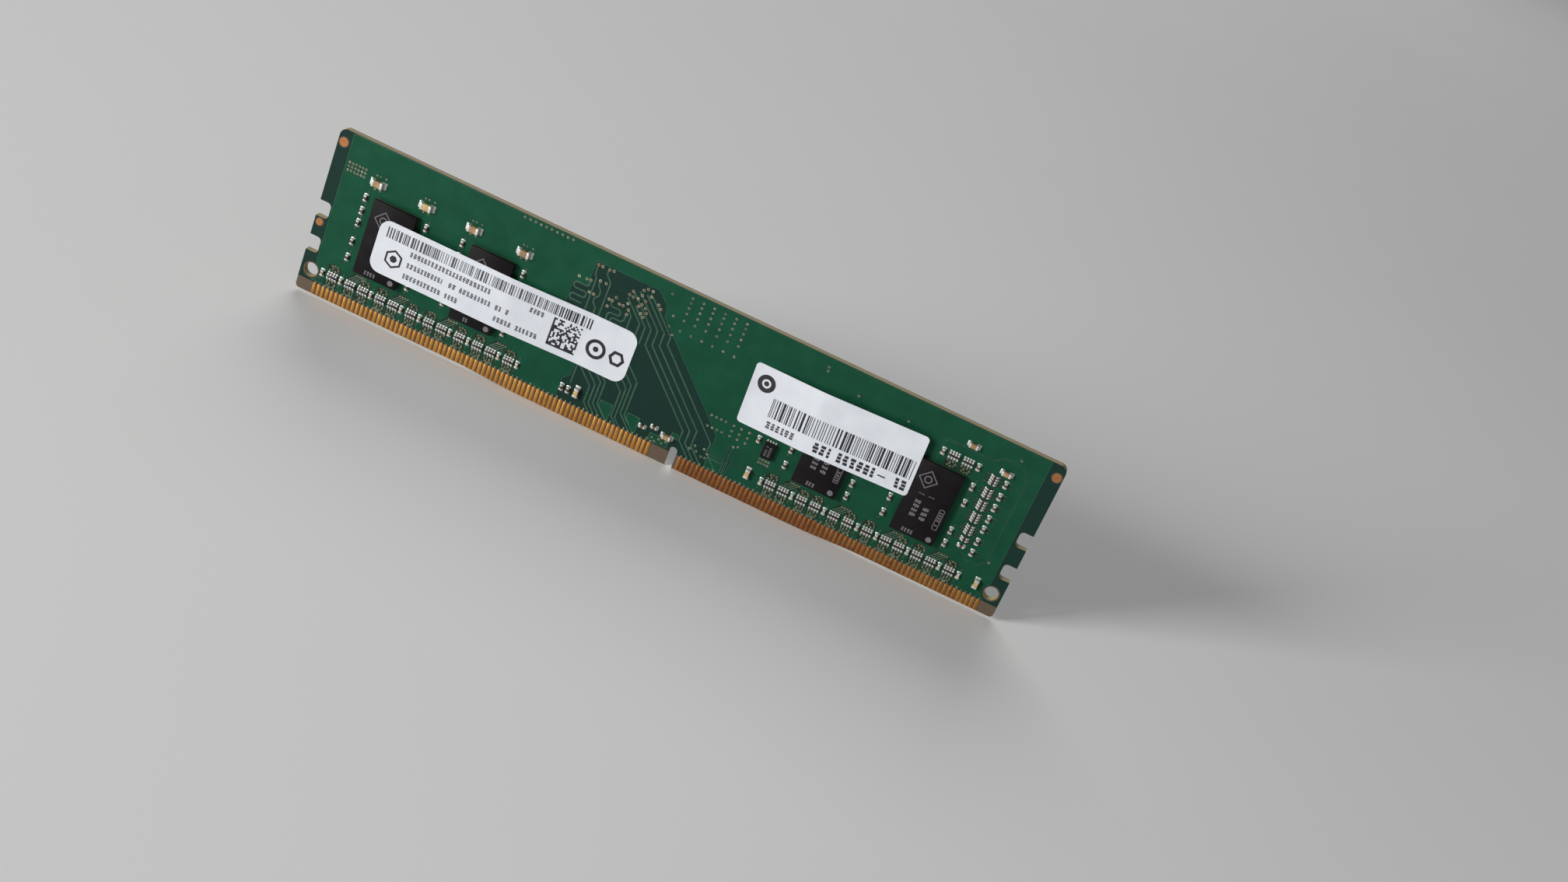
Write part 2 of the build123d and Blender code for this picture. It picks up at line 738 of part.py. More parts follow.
def card_nodes():
    planes = {
        "ground_plane": plane_sheet(PLANE_LOW, CORE_HALF),
        "power_plane": plane_sheet(-CORE_HALF, -PLANE_LOW),
    }
    core = laminate(-CORE_HALF, CORE_HALF) - list(planes.values())
    front = front_copper()
    back = back_copper()
    nodes = {
        "laminate_core": [core],
        "prepreg_front": [laminate(CORE_HALF, LAMINATE_HALF)],
        "prepreg_back": [laminate(-LAMINATE_HALF, -CORE_HALF)],
        "copper_front": [layer(face, LAMINATE_HALF, COPPER_TOP) for face in front],
        "copper_back": to_back([layer(face, LAMINATE_HALF, COPPER_TOP) for face in back]),
        "solder_mask_front": [mask_sheet(front, MARKS)],
        "solder_mask_back": to_back([mask_sheet(back, ())]),
        "contacts_front_left": contact_row(LEFT_FIRST, LEFT_COUNT),
        "contacts_front_right": contact_row(RIGHT_FIRST, RIGHT_COUNT),
        "contacts_back_left": to_back(contact_row(LEFT_FIRST, LEFT_COUNT)),
        "contacts_back_right": to_back(contact_row(RIGHT_FIRST, RIGHT_COUNT)),
        "registration_marks": mark_dots(),
    }
    nodes.update({name: [sheet] for name, sheet in planes.items()})
    return nodes


def part_nodes():
    nodes = {}
    for number, left_edge in enumerate(DRAM_LEFT_EDGES, start=1):
        for kind, solids in dram(left_edge).items():
            nodes[f"dram_{number}_{kind}"] = solids
    nodes.update(spd())
    groups = {}
    groups.update(contact_rows())
    groups.update(address_group())
    groups.update(supply_capacitors())
    groups.update(middle_capacitors())
    groups["decoupling_capacitors_left"] = decoupling_capacitors(DRAM_LEFT_EDGES[:2])
    groups["decoupling_capacitors_right"] = decoupling_capacitors(DRAM_LEFT_EDGES[2:])
    for group, kinds in groups.items():
        for kind, solids in kinds.items():
            nodes[f"{group}_{kind}"] = solids
    nodes["label_main"] = [bent_label(MAIN_LABEL)]
    nodes["label_part_number"] = [bent_label(PART_LABEL)]
    return nodes


def main():
    os.makedirs("parts", exist_ok=True)
    nodes = {**card_nodes(), **part_nodes()}
    for name, shapes in nodes.items():
        solids = [solid for shape in shapes for solid in shape.solids()]
        export_step(Compound(children=solids), f"parts/{name}.step")
        print(name, len(solids), round(sum(solid.volume for solid in solids), 3))


main()
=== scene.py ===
"""Looks of a desktop memory module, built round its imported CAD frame.

Lengths here are millimetres on the card: x from its left end, z up from its lowest edge,
and a height in front of its mid-plane. spot() turns them into the frame's metres.
"""

import json
import math
import random
from collections import namedtuple

import bmesh
import bpy
from mathutils import Matrix, Vector
from mathutils.bvhtree import BVHTree


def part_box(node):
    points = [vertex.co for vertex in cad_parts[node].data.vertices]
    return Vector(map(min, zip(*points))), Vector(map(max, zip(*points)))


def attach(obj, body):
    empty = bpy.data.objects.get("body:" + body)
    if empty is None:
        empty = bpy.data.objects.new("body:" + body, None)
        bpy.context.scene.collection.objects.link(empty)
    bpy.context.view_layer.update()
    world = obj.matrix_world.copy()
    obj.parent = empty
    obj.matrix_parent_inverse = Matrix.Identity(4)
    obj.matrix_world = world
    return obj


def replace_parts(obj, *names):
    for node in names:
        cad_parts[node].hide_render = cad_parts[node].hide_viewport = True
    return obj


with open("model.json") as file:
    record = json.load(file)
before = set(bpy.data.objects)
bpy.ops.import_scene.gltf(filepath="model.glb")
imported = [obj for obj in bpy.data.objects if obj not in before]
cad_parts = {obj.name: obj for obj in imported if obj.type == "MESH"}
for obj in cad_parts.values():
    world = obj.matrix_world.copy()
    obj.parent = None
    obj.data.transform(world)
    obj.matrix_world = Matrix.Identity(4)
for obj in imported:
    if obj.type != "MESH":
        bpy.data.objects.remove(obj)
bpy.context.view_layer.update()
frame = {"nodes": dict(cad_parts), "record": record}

MM = 0.001
SAME_PLACE = 0.0005
FRONT = 1
BACK = -1
nodes = frame["nodes"]

# Places that come from the frame
CARD_LOW, CARD_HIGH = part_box("laminate_core")
FACE = -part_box("solder_mask_front")[0].y / MM
COPPER = -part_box("copper_front")[0].y / MM

# Groups of small parts with a left and a right half
DECOUPLING = ("decoupling_capacitors_left", "decoupling_capacitors_right")
DATA_ROWS = ("data_resistors_left", "data_resistors_right")

# Heights of the relief: its foot just inside the lacquer, and how far it rises over the face
FOOT = FACE - 0.004
SHOULDER_RISE = 0.005
LINE_RISE = 0.009
SHORTEST_BEAD = 0.02
CONTACT_TOP = 2.95

# Widths of the raised lines, and the area in mm2 above which copper is a pour and not a line
SHOULDER_WIDTH = 0.055
POUR_EDGE_WIDTH = 0.07
LINE_WIDTH = 0.13
CAP_LINE_WIDTH = 0.16
NECK_WIDTH = 0.22
LARGEST_LINE = 8.0

# The camera: where it stands in the frame's metres, and how it is turned
CAMERA_PLACE = (0.04174, -0.28663, 0.14543)
CAMERA_RIGHT = (0.90162, 0.22985, 0.36641)
CAMERA_UP = (-0.42811, 0.35343, 0.83175)
CAMERA_LENS = 43.09
CAMERA_SENSOR = 36.0
FLOOR_HALF = 12.0

# Vias: outer radius, hole radius, height of the rim on the front
VIA_SMALL = (0.17, 0.075, 0.020)
VIA_PLAIN = (0.23, 0.105, 0.026)
VIA_WIDE = (0.27, 0.12, 0.028)
VIA_SIDES = 12
VIA_HALO = 0.10
BACK_RELIEF = 0.3
BALL_PITCH = 0.8

# Labels: node, length, height, corner radius, turn in degrees; the centres come from the frame
MAIN_LABEL = ("label_main", 48.0, 9.74, 2.0, 0.0)
PART_LABEL = ("label_part_number", 31.3, 11.45, 0.7, 2.2)
EDGE_ROOM = 0.06
INK_ROOM = 0.012
INK_THICK = 0.008
LABEL_SAG = 0.05
PRINT_HEIGHT = 0.9
PRINT_STROKE = 0.29
BAR_MODULES = (1, 1, 1, 2, 2, 3)
BOLD_LINE = (0.75, 2.55)

# Laser marks: how deep they start, and how high they stand
MARK_SINK = 0.002
MARK_RISE = 0.003


# Every material by its name, filled by Net
materials = {}


def spot(x, z, height, side=FRONT):
    """Card millimetres to the frame's metres."""
    return Vector((CARD_LOW.x + x * MM, -side * height * MM, z * MM))


def card_place(point):
    """The frame's metres to card millimetres (x, z)."""
    return (point.x - CARD_LOW.x) / MM, point.z / MM


# ---- Meshes ----

def level(outline, height):
    """An outline's (x, z) points, all at one height."""
    return [(x, z, height) for x, z in outline]


class Shape:
    """Closed forms of one piece, given ring by ring in card millimetres."""

    def __init__(self, side=FRONT):
        self.side = side
        self.verts = []
        self.faces = []
        self.forms = 0

    def lift(self):
        """Small height of its own for each flat form, so that none share a plane."""
        self.forms += 1
        return 0.0007 * (self.forms % 7)

    def ring(self, points):
        first = len(self.verts)
        self.verts += [spot(x, z, height, self.side) for x, z, height in points]
        return range(first, len(self.verts))

    def walls(self, rings):
        """Faces between each ring and the next, which has as many points."""
        for a, b in zip(rings, rings[1:]):
            for i in range(len(a)):
                j = (i + 1) % len(a)
                self.faces.append((a[i], a[j], b[j], b[i]))

    def loft(self, rings):
        """Closed form through rings of (x, z, height) points."""
        made = [self.ring(points) for points in rings]
        self.walls(made)
        self.faces += [tuple(reversed(made[0])), tuple(made[-1])]

    def hoop(self, rings):
        """Closed form with a hole, through rings of points and back to the first."""
        made = [self.ring(points) for points in rings]
        self.walls(made + made[:1])

    def prism(self, outline, low, high):
        self.loft([level(outline, low), level(outline, high)])

    def washer(self, inner, outer, low, high):
        """Hoop of rectangular section between two outlines."""
        self.hoop([level(outer, low), level(outer, high), level(inner, high), level(inner, low)])


def circle(x, z, radius, sides=24, turn=0.0):
    steps = [turn + math.tau * i / sides for i in range(sides)]
    return [(x + radius * math.cos(a), z + radius * math.sin(a)) for a in steps]


def rounded(x_low, x_high, z_low, z_high, radius, steps=3):
    """Rectangle with round corners, as a list of points."""
    points = []
    corners = (
        (x_high - radius, z_high - radius), (x_low + radius, z_high - radius),
        (x_low + radius, z_low + radius), (x_high - radius, z_low + radius),
    )
    for quarter, (x, z) in enumerate(corners):
        for i in range(steps + 1):
            angle = math.pi / 2 * (quarter + i / steps)
            points.append((x + radius * math.cos(angle), z + radius * math.sin(angle)))
    return points


def add_object(name, data):
    made = bpy.data.objects.new(name, data)
    bpy.context.scene.collection.objects.link(made)
    return made


def make(name, shape, material, smooth=35):
    """One Blender piece from a shape, riding on the card."""
    mesh = bpy.data.meshes.new(name)
    mesh.from_pydata([tuple(v) for v in shape.verts], [], shape.faces)
    form = bmesh.new()
    form.from_mesh(mesh)
    bmesh.ops.recalc_face_normals(form, faces=form.faces)
    form.to_mesh(mesh)
    form.free()
    mesh.shade_smooth()
    mesh.set_sharp_from_angle(angle=math.radians(smooth))
    mesh.materials.append(materials[material])
    piece = add_object(name, mesh)
    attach(piece, "root")
    return piece


def welded(node):
    """A CAD node's mesh with its doubled vertices joined."""
    form = bmesh.new()
    form.from_mesh(nodes[node].data)
    bmesh.ops.remove_doubles(form, verts=form.verts, dist=SAME_PLACE * MM)
    return form


def islands(form):
    """Lists of faces that hang together."""
    found = []
    seen = set()
    for start in form.faces:
        if start in seen:
            continue
        seen.add(start)
        island = [start]
        for face in island:
            for other in (f for edge in face.edges for f in edge.link_faces):
                if other not in seen:
                    seen.add(other)
                    island.append(other)
        found.append(island)
    return found


class Box(namedtuple("Box", "x_low x_high z_low z_high top")):
    """Bounds of one solid of a CAD node, in card millimetres."""

    x = property(lambda box: (box.x_low + box.x_high) / 2)
    z = property(lambda box: (box.z_low + box.z_high) / 2)


def solid_boxes(node):
    """The box of each solid of a CAD node, left to right."""
    form = welded(node)
    boxes = []
    for island in islands(form):
        points = [v.co for face in island for v in face.verts]
        xs, zs = zip(*map(card_place, points))
        boxes.append(Box(min(xs), max(xs), min(zs), max(zs), max(-p.y for p in points) / MM))
    form.free()
    return sorted(boxes)


# ---- Materials ----

class Net:
    """Short calls for one material's nodes. Texture places are in millimetres."""

    def __init__(self, name, roughness=0.5, metallic=0.0, specular=0.5):
        materials[name] = bpy.data.materials.new(name)
        materials[name].use_nodes = True
        self.tree = materials[name].node_tree
        self.shader = self.tree.nodes["Principled BSDF"]
        finish = {"Roughness": roughness, "Metallic": metallic, "Specular IOR Level": specular}
        for socket, value in finish.items():
            self.shader.inputs[socket].default_value = value
        coordinates = self.add("TexCoord")
        scaled = self.add("VectorMath", {0: coordinates.outputs["Object"]}, operation="SCALE")
        scaled.inputs["Scale"].default_value = 1 / MM
        self.place = scaled.outputs[0]

    def add(self, kind, inputs=None, **settings):
        node = self.tree.nodes.new("ShaderNode" + kind)
        for key, value in settings.items():
            setattr(node, key, value)
        for key, value in (inputs or {}).items():
            self.feed(node.inputs[key], value)
        return node

    def feed(self, socket, value):
        if isinstance(value, bpy.types.NodeSocket):
            self.tree.links.new(value, socket)
        else:
            socket.default_value = value

    def stretch(self, x, y, z):
        """Texture place with each axis scaled."""
        return self.add("VectorMath", {0: self.place, 1: (x, y, z)}, operation="MULTIPLY").outputs[0]

    def noise(self, scale, detail=3.0, rough=0.55, vector=None):
        sockets = {"Vector": vector or self.place, "Scale": scale, "Detail": detail, "Roughness": rough}
        return self.add("TexNoise", sockets).outputs["Fac"]

    def cells(self, scale, vector=None):
        """A flat random value for each cell."""
        node = self.add("TexVoronoi", {"Vector": vector or self.place, "Scale": scale})
        return self.add("SeparateColor", {0: node.outputs["Color"]}).outputs[0]

    def math(self, operation, a, b=0.0):
        return self.add("Math", {0: a, 1: b}, operation=operation).outputs[0]

    def axis(self, index):
        return self.add("SeparateXYZ", {0: self.place}).outputs[index]

    def band(self, value, low, high, out_low=0.0, out_high=1.0):
        """A value moved from one range to another, held at its ends."""
        sockets = {"Value": value, "From Min": low, "From Max": high, "To Min": out_low, "To Max": out_high}
        return self.add("MapRange", sockets).outputs[0]

    def mix(self, factor, a, b):
        node = self.add("Mix", data_type="RGBA")
        for index, value in ((0, factor), (6, a), (7, b)):
            if isinstance(value, tuple) and len(value) == 3:
                value = (*value, 1.0)
            self.feed(node.inputs[index], value)
        return node.outputs[2]

    def blend(self, value, low, high, a, b, share=1.0):
        """Colour a up to the low value, and up to the given share of b from the high one."""
        return self.mix(self.band(value, low, high, 0.0, share), a, b)

    def colour(self, value):
        self.feed(self.shader.inputs["Base Color"], value)

    def roughness(self, *band):
        self.feed(self.shader.inputs["Roughness"], self.band(*band))

    def bump(self, height, distance):
        """Relief of the given height in millimetres."""
        node = self.add("Bump", {"Height": height, "Distance": distance * MM, "Strength": 1.0})
        self.feed(self.shader.inputs["Normal"], node.outputs[0])


def weave(net, pitch):
    """Glass cloth under the resin: threads crossing at right angles, 0 to 1."""
    threads = []
    for index in (0, 2):
        wave = net.math("SINE", net.math("MULTIPLY", net.axis(index), math.tau / pitch))
        threads.append(net.math("MULTIPLY", wave, 0.25))
    return net.math("ADD", net.math("ADD", threads[0], threads[1]), 0.5)


def two_tone(name, low, high, noise, span=(0.0, 1.0), relief=0.0, dents=None, along=None, **finish):
    """Two colours mixed by one noise. The relief follows that noise, or dents of its own scale."""
    net = Net(name, **finish)
    tone = net.noise(*noise, vector=net.stretch(*along) if along else None)
    net.colour(net.blend(tone, *span, low, high))
    if relief:
        net.bump(net.noise(dents) if dents else tone, relief)


def laminate_material():
    """Glass and resin: brown on the face, layered and paler on the cut edges."""
    net = Net("laminate", roughness=0.55, specular=0.4)
    layers = net.noise(1.0, 2.0, 0.5, net.stretch(0.35, 16.0, 0.35))
    fibre = net.noise(9.0, 4.0)
    edge = net.blend(layers, 0.35, 0.65, (0.17, 0.13, 0.05), (0.34, 0.28, 0.13))
    edge = net.blend(fibre, 0.4, 0.75, edge, (0.4, 0.34, 0.18))
    face = net.blend(fibre, 0.3, 0.7, (0.075, 0.05, 0.032), (0.12, 0.085, 0.055))
    depth = net.math("ABSOLUTE", net.axis(1))
    net.colour(net.blend(depth, 0.604, 0.612, edge, face))
    net.roughness(fibre, 0.2, 0.8, 0.45, 0.75)
    net.bump(net.math("ADD", layers, net.math("MULTIPLY", fibre, 0.6)), 0.02)


def mask_material():
    """Green lacquer: bright over the copper pour, dark where only laminate lies below."""
    net = Net("solder_mask", roughness=0.36, specular=0.18)
    over_copper = net.band(net.math("ABSOLUTE", net.axis(1)), FACE - 0.018, FACE - 0.008)
    cloth = weave(net, 0.55)
    fine = net.noise(7.0, 3.0)
    pour = net.blend(net.noise(0.35, 3.0), 0.3, 0.7, (0.0065, 0.064, 0.032), (0.0095, 0.082, 0.042))
    bare = net.mix(cloth, (0.0052, 0.022, 0.017), (0.0064, 0.026, 0.02))
    both = net.mix(over_copper, bare, pour)
    net.colour(net.blend(fine, 0.45, 0.8, both, (0.02, 0.12, 0.075), 0.15))
    net.feed(net.shader.inputs["Metallic"], net.math("MULTIPLY", over_copper, 0.4))
    net.roughness(fine, 0.3, 0.7, 0.33, 0.46)
    net.bump(net.math("ADD", net.math("MULTIPLY", cloth, 0.2), net.math("MULTIPLY", fine, 0.3)), 0.006)


def thin_lacquer(name, low, high, metallic=0.0):
    """Lacquer drawn thin over a shoulder or a rim, so the copper lightens it in patches."""
    finish = {"roughness": 0.34, "metallic": metallic}
    two_tone(name, low, high, (1.4, 3.0), (0.35, 0.65), 0.004, 9.0, **finish)


def clearance_and_hole_shade_material(name, low, high):
    """Dark lacquer where no copper lies below: round fine lines, and over the plated holes, where the
    near-black is painted shade down the hole.
    """
    finish = {"roughness": 0.4, "specular": 0.2}
    two_tone(name, low, high, (2.2, 3.0), (0.35, 0.65), 0.004, 8.0, **finish)


def bare_via_material():
    """Plated hole with hardly any lacquer: tan metal, some coppery."""
    net = Net("via_metal", roughness=0.42, metallic=0.75)
    patch = net.cells(0.9)
    tan = net.blend(patch, 0.2, 0.8, (0.34, 0.3, 0.21), (0.58, 0.53, 0.4))
    net.colour(net.blend(patch, 0.8, 0.9, tan, (0.42, 0.25, 0.14)))
    net.bump(net.noise(12.0), 0.006)


def copper_material(name, base):
    """Rolled copper, with its grain along the card."""
    net = Net(name, roughness=0.38, metallic=1.0)
    grain = net.noise(1.0, 4.0, 0.6, net.stretch(0.6, 6.0, 6.0))
    dark = tuple(c * 0.72 for c in base)
    net.colour(net.blend(grain, 0.3, 0.7, dark, base))
    net.roughness(grain, 0.3, 0.7, 0.3, 0.5)
    net.bump(grain, 0.004)


def gold_material():
    """Gold plate on the contacts: each a little different, wiped lengthwise, and darker and redder to the
    right of the key, which is painted shade.
    """
    net = Net("gold", roughness=0.36, metallic=1.0)
    each = net.cells(1.0, net.stretch(1 / 0.85, 0.0, 0.0))
    wipe = net.noise(1.0, 4.0, 0.65, net.stretch(11.0, 1.0, 0.55))
    base = net.mix(each, (0.52, 0.23, 0.045), (0.8, 0.4, 0.09))
    worn = net.blend(wipe, 0.45, 0.75, base, (0.92, 0.56, 0.19), 0.7)
    along = net.axis(0)
    # Painted shade: a dark red band begins just right of the key and fades again towards the right end
    # (paler); the noise stain added to it is real tarnish.
    painted_shade = net.band(along, 5.0, 8.0, 0.05, 0.85)
    paler = net.band(along, 30.0, 60.0, 0.0, 0.45)
    stain = net.band(net.noise(0.9, 3.0), 0.5, 0.75, 0.0, 0.4)
    stain_and_painted_shade = net.math("ADD", stain, net.math("SUBTRACT", painted_shade, paler))
    net.colour(net.mix(net.math("MINIMUM", stain_and_painted_shade, 1.0), worn, (0.33, 0.105, 0.03)))
    net.roughness(wipe, 0.3, 0.75, 0.46, 0.26)
    net.bump(wipe, 0.006)


def mold_material():
    """Moulded epoxy: charcoal with fine filler grains."""
    net = Net("mold_compound", roughness=0.48, specular=0.1)
    grain = net.noise(11.0, 3.0, 0.7)
    cloud = net.noise(0.4, 3.0)
    base = net.blend(cloud, 0.3, 0.7, (0.006, 0.005, 0.0058), (0.01, 0.0085, 0.0095))
    net.colour(net.blend(grain, 0.62, 0.75, base, (0.05, 0.046, 0.052), 0.5))
    net.roughness(grain, 0.3, 0.7, 0.42, 0.6)
    net.bump(grain, 0.01)


def tin_material(name, dark, bright, relief):
    """Tin plate or solder, with soft dents and dull patches."""
    net = Net(name, roughness=0.35, metallic=0.6)
    dents = net.noise(2.6, 3.0, 0.55)
    frost = net.noise(14.0, 3.0, 0.6)
    net.colour(net.blend(frost, 0.4, 0.75, bright, dark))
    net.roughness(frost, 0.3, 0.7, 0.28, 0.48)
    net.bump(net.math("ADD", dents, net.math("MULTIPLY", frost, 0.15)), relief)


def ceramic_material(name, low, high, speck):
    """Fired ceramic: matt, with fine specks and faint layers."""
    net = Net(name, roughness=0.48)
    grain = net.noise(13.0, 4.0, 0.7)
    base = net.blend(net.noise(0.45, 1.0), 0.38, 0.62, low, high)
    net.colour(net.blend(grain, 0.58, 0.75, base, speck, 0.6))
    net.roughness(grain, 0.3, 0.7, 0.35, 0.6)
    net.bump(grain, 0.012)


def paper_material():
    """Coated label stock: cool white, with faint fibres and a satin face."""
    net = Net("label_paper", roughness=0.5, specular=0.4)
    fibre = net.noise(1.0, 5.0, 0.7, net.stretch(5.0, 5.0, 1.6))
    white = net.blend(net.noise(0.22, 3.0), 0.3, 0.7, (0.58, 0.61, 0.655), (0.65, 0.68, 0.72))
    net.colour(net.blend(fibre, 0.55, 0.8, white, (0.5, 0.53, 0.57), 0.3))
    net.roughness(fibre, 0.3, 0.7, 0.42, 0.58)
    net.bump(fibre, 0.005)


def ink_material(name, dark, pale):
    """Thermal print: dense black with small pale misses."""
    finish = {"roughness": 0.42, "specular": 0.45}
    two_tone(name, dark, pale, (6.5, 4.0, 0.65), (0.6, 0.72), 0.003, **finish)


def make_materials():
    """Every material. Those of the CAD nodes have the names of their slots in the record."""
    laminate_material()
    mask_material()
    thin_lacquer("thin_mask", (0.06, 0.135, 0.09), (0.115, 0.2, 0.145))
    thin_lacquer("pour_edge", (0.01, 0.07, 0.04), (0.026, 0.105, 0.066))
    thin_lacquer("via_mask", (0.13, 0.15, 0.085), (0.4, 0.35, 0.22), 0.35)
    thin_lacquer("via_covered", (0.015, 0.06, 0.036), (0.05, 0.105, 0.068), 0.2)
    thin_lacquer("via_green", (0.09, 0.2, 0.12), (0.4, 0.44, 0.31), 0.35)
    bare_via_material()
    clearance_and_hole_shade_material("clearance", (0.006, 0.016, 0.01), (0.018, 0.036, 0.02))
    # Over the via holes: the lacquer's own dark, deepened to near-black as painted shade down the hole.
    clearance_and_hole_shade_material("via_hole_shade", (0.002, 0.006, 0.005), (0.006, 0.014, 0.011))
    copper_material("copper", (0.62, 0.3, 0.15))
    copper_material("bare_copper", (0.64, 0.27, 0.11))
    gold_material()
    mold_material()
    two_tone(
        "package_substrate", (0.028, 0.042, 0.018), (0.085, 0.085, 0.035), (1.0, 2.0, 0.5),
        (0.35, 0.65), 0.008, along=(0.8, 20.0, 0.8), roughness=0.4,
    )
    two_tone(
        "silicon", (0.12, 0.125, 0.14), (0.24, 0.25, 0.28), (1.0, 3.0, 0.6),
        relief=0.003, along=(14.0, 2.0, 1.5), roughness=0.22, metallic=0.6,
    )
    tin_material("solder", (0.4, 0.4, 0.38), (0.74, 0.74, 0.71), 0.03)
    tin_material("terminal_tin", (0.46, 0.455, 0.43), (0.82, 0.81, 0.77), 0.015)
    ceramic_material("resistor_ceramic", (0.055, 0.05, 0.044), (0.1, 0.094, 0.082), (0.18, 0.17, 0.15))
    two_tone(
        "resistor_overcoat", (0.006, 0.006, 0.007), (0.018, 0.018, 0.02), (8.0, 3.0),
        relief=0.008, roughness=0.26, specular=0.55,
    )
    ceramic_material("capacitor_tan", (0.27, 0.16, 0.075), (0.52, 0.36, 0.16), (0.16, 0.1, 0.05))
    ceramic_material("capacitor_brown", (0.075, 0.04, 0.026), (0.17, 0.105, 0.06), (0.04, 0.025, 0.018))
    ceramic_material("capacitor_beige", (0.3, 0.23, 0.15), (0.45, 0.37, 0.26), (0.2, 0.15, 0.1))
    paper_material()
    ink_material("ink", (0.014, 0.014, 0.017), (0.16, 0.16, 0.17))
    ink_material("grey_ink", (0.06, 0.06, 0.068), (0.34, 0.34, 0.37))
    two_tone(
        "laser", (0.095, 0.09, 0.098), (0.18, 0.172, 0.182), (9.0, 3.0),
        relief=0.006, roughness=0.7, specular=0.3,
    )
    two_tone(
        "floor", (0.75, 0.75, 0.755), (0.8, 0.8, 0.805), (0.004, 3.0), roughness=0.6, specular=0.25
    )


def dress_frame():
    """Gives every CAD node the material of its slot in the record, one of them a paler kind."""
    paler = {"contact_row_capacitors_ceramic": "capacitor_beige"}
    for part in frame["record"]["subparts"]:
        node = part["node"]
        piece = nodes[node]
        piece.data.materials.clear()
        piece.data.materials.append(materials[paler.get(node, part["material_slot"])])


def soften(node, width):
    """Rounds a CAD node's edges with modifiers, inside its own outline."""
    sharp = math.radians(40)
    piece = nodes[node]
    weld = piece.modifiers.new("weld", "WELD")
    weld.merge_threshold = SAME_PLACE * MM
    bevel = piece.modifiers.new("bevel", "BEVEL")
    bevel.width = width * MM
    bevel.segments = 2
    bevel.limit_method = "ANGLE"
    bevel.angle_limit = sharp
    piece.data.shade_smooth()
    piece.data.set_sharp_from_angle(angle=sharp)


def soften_frame():
    """Edge radii of the moulded, plated and fired parts."""
    widths = {
        "_mold_cap": 0.07, "_substrate": 0.02, "_end_caps": 0.07, "_terminals": 0.045,
        "_overcoat": 0.012, "_ceramic": 0.03, "spd_body": 0.07, "spd_leads": 0.03, "contacts_": 0.02,
    }
    for name in nodes:
        for part, width in widths.items():
            if part in name:
                soften(name, width)


# ---- Card surface: line relief, pour edges, vias and fan-out ----

def copper_islands(node, side):
    """(area, rim edges) of each island of a copper node's outer face, in card millimetres."""
    form = welded(node)
    outer_y = -side * COPPER * MM
    inner = [f for f in form.faces if any(abs(v.co.y - outer_y) > 0.002 * MM for v in f.verts)]
    bmesh.ops.delete(form, geom=inner, context="FACES")
    found = []
    for island in islands(form):
        area = sum(face.calc_area() for face in island) / MM ** 2
        rims = [edge for face in island for edge in face.edges if edge.is_boundary]
        found.append((area, [[card_place(v.co) for v in edge.verts] for edge in rims]))
    form.free()
    return found


def bead(shape, a, b, width, rise):
    """Low ridge with sloping sides along one straight stretch."""
    length = math.dist(a, b)
    if length < SHORTEST_BEAD:
        return
    rings = []
    for half, height in ((width / 2, FOOT), (width / 4, FACE + rise)):
        x, z = ((b[i] - a[i]) / length * half for i in (0, 1))
        corners = (a[0] - x - z, a[1] - z + x), (b[0] + x - z, b[1] + z + x)
        corners += (b[0] + x + z, b[1] + z - x), (a[0] - x + z, a[1] - z - x)
        rings.append(level(corners, height))
    shape.loft(rings)


def line_relief(node, side, name):
    """Ridges where the lacquer climbs the shoulders of lines and pour edges."""
    lines = Shape(side)
    edges = Shape(side)
    for area, rims in copper_islands(node, side):
        shape, width = (lines, SHOULDER_WIDTH) if area < LARGEST_LINE else (edges, POUR_EDGE_WIDTH)
        for a, b in rims:
            bead(shape, a, b, width, SHOULDER_RISE)
    make(name + "_lines", lines, "thin_mask")
    make(name + "_pour_edges", edges, "pour_edge")


class Vias:
    """Plated holes of one area: raised rims, dark rings round the rims, and near-black discs in the holes
    that are painted shade of the hole.
    """

    def __init__(self, side=FRONT):
        self.relief = 1.0 if side == FRONT else BACK_RELIEF
        self.rims = Shape(side)
        self.holes = Shape(side)
        self.halos = Shape(side)

    def add(self, x, z, kind=VIA_SMALL):
        outer, hole, rise = kind
        rise *= self.relief
        profile = (
            (outer, FACE - 0.01), (outer * 0.93, FACE + rise * 0.6), (outer * 0.78, FACE + rise),
            ((outer + hole) / 2, FACE + rise), (hole * 1.12, FACE + rise * 0.7), (hole, FACE),
        )
        self.rims.hoop([level(circle(x, z, radius, VIA_SIDES), height) for radius, height in profile])
        # Near-black disc in the hole: painted shade down the hole.
        self.holes.prism(circle(x, z, hole * 1.05, VIA_SIDES), FOOT, FACE + 0.008)
        halo_top = FACE + 0.002 + self.halos.lift()
        self.halos.prism(circle(x, z, outer + VIA_HALO, VIA_SIDES), FOOT, halo_top)

    def finish(self, name, material, slot, halo=True):
        make(name, self.rims, material)
        make(name + "_holes", self.holes, "via_hole_shade")
        if halo:
            make(name + "_rings", self.halos, "clearance")


def grid(xs, zs):
    return [(x, z) for z in zs for x in xs]


def steps(first, count, pitch):
    return [first + i * pitch for i in range(count)]


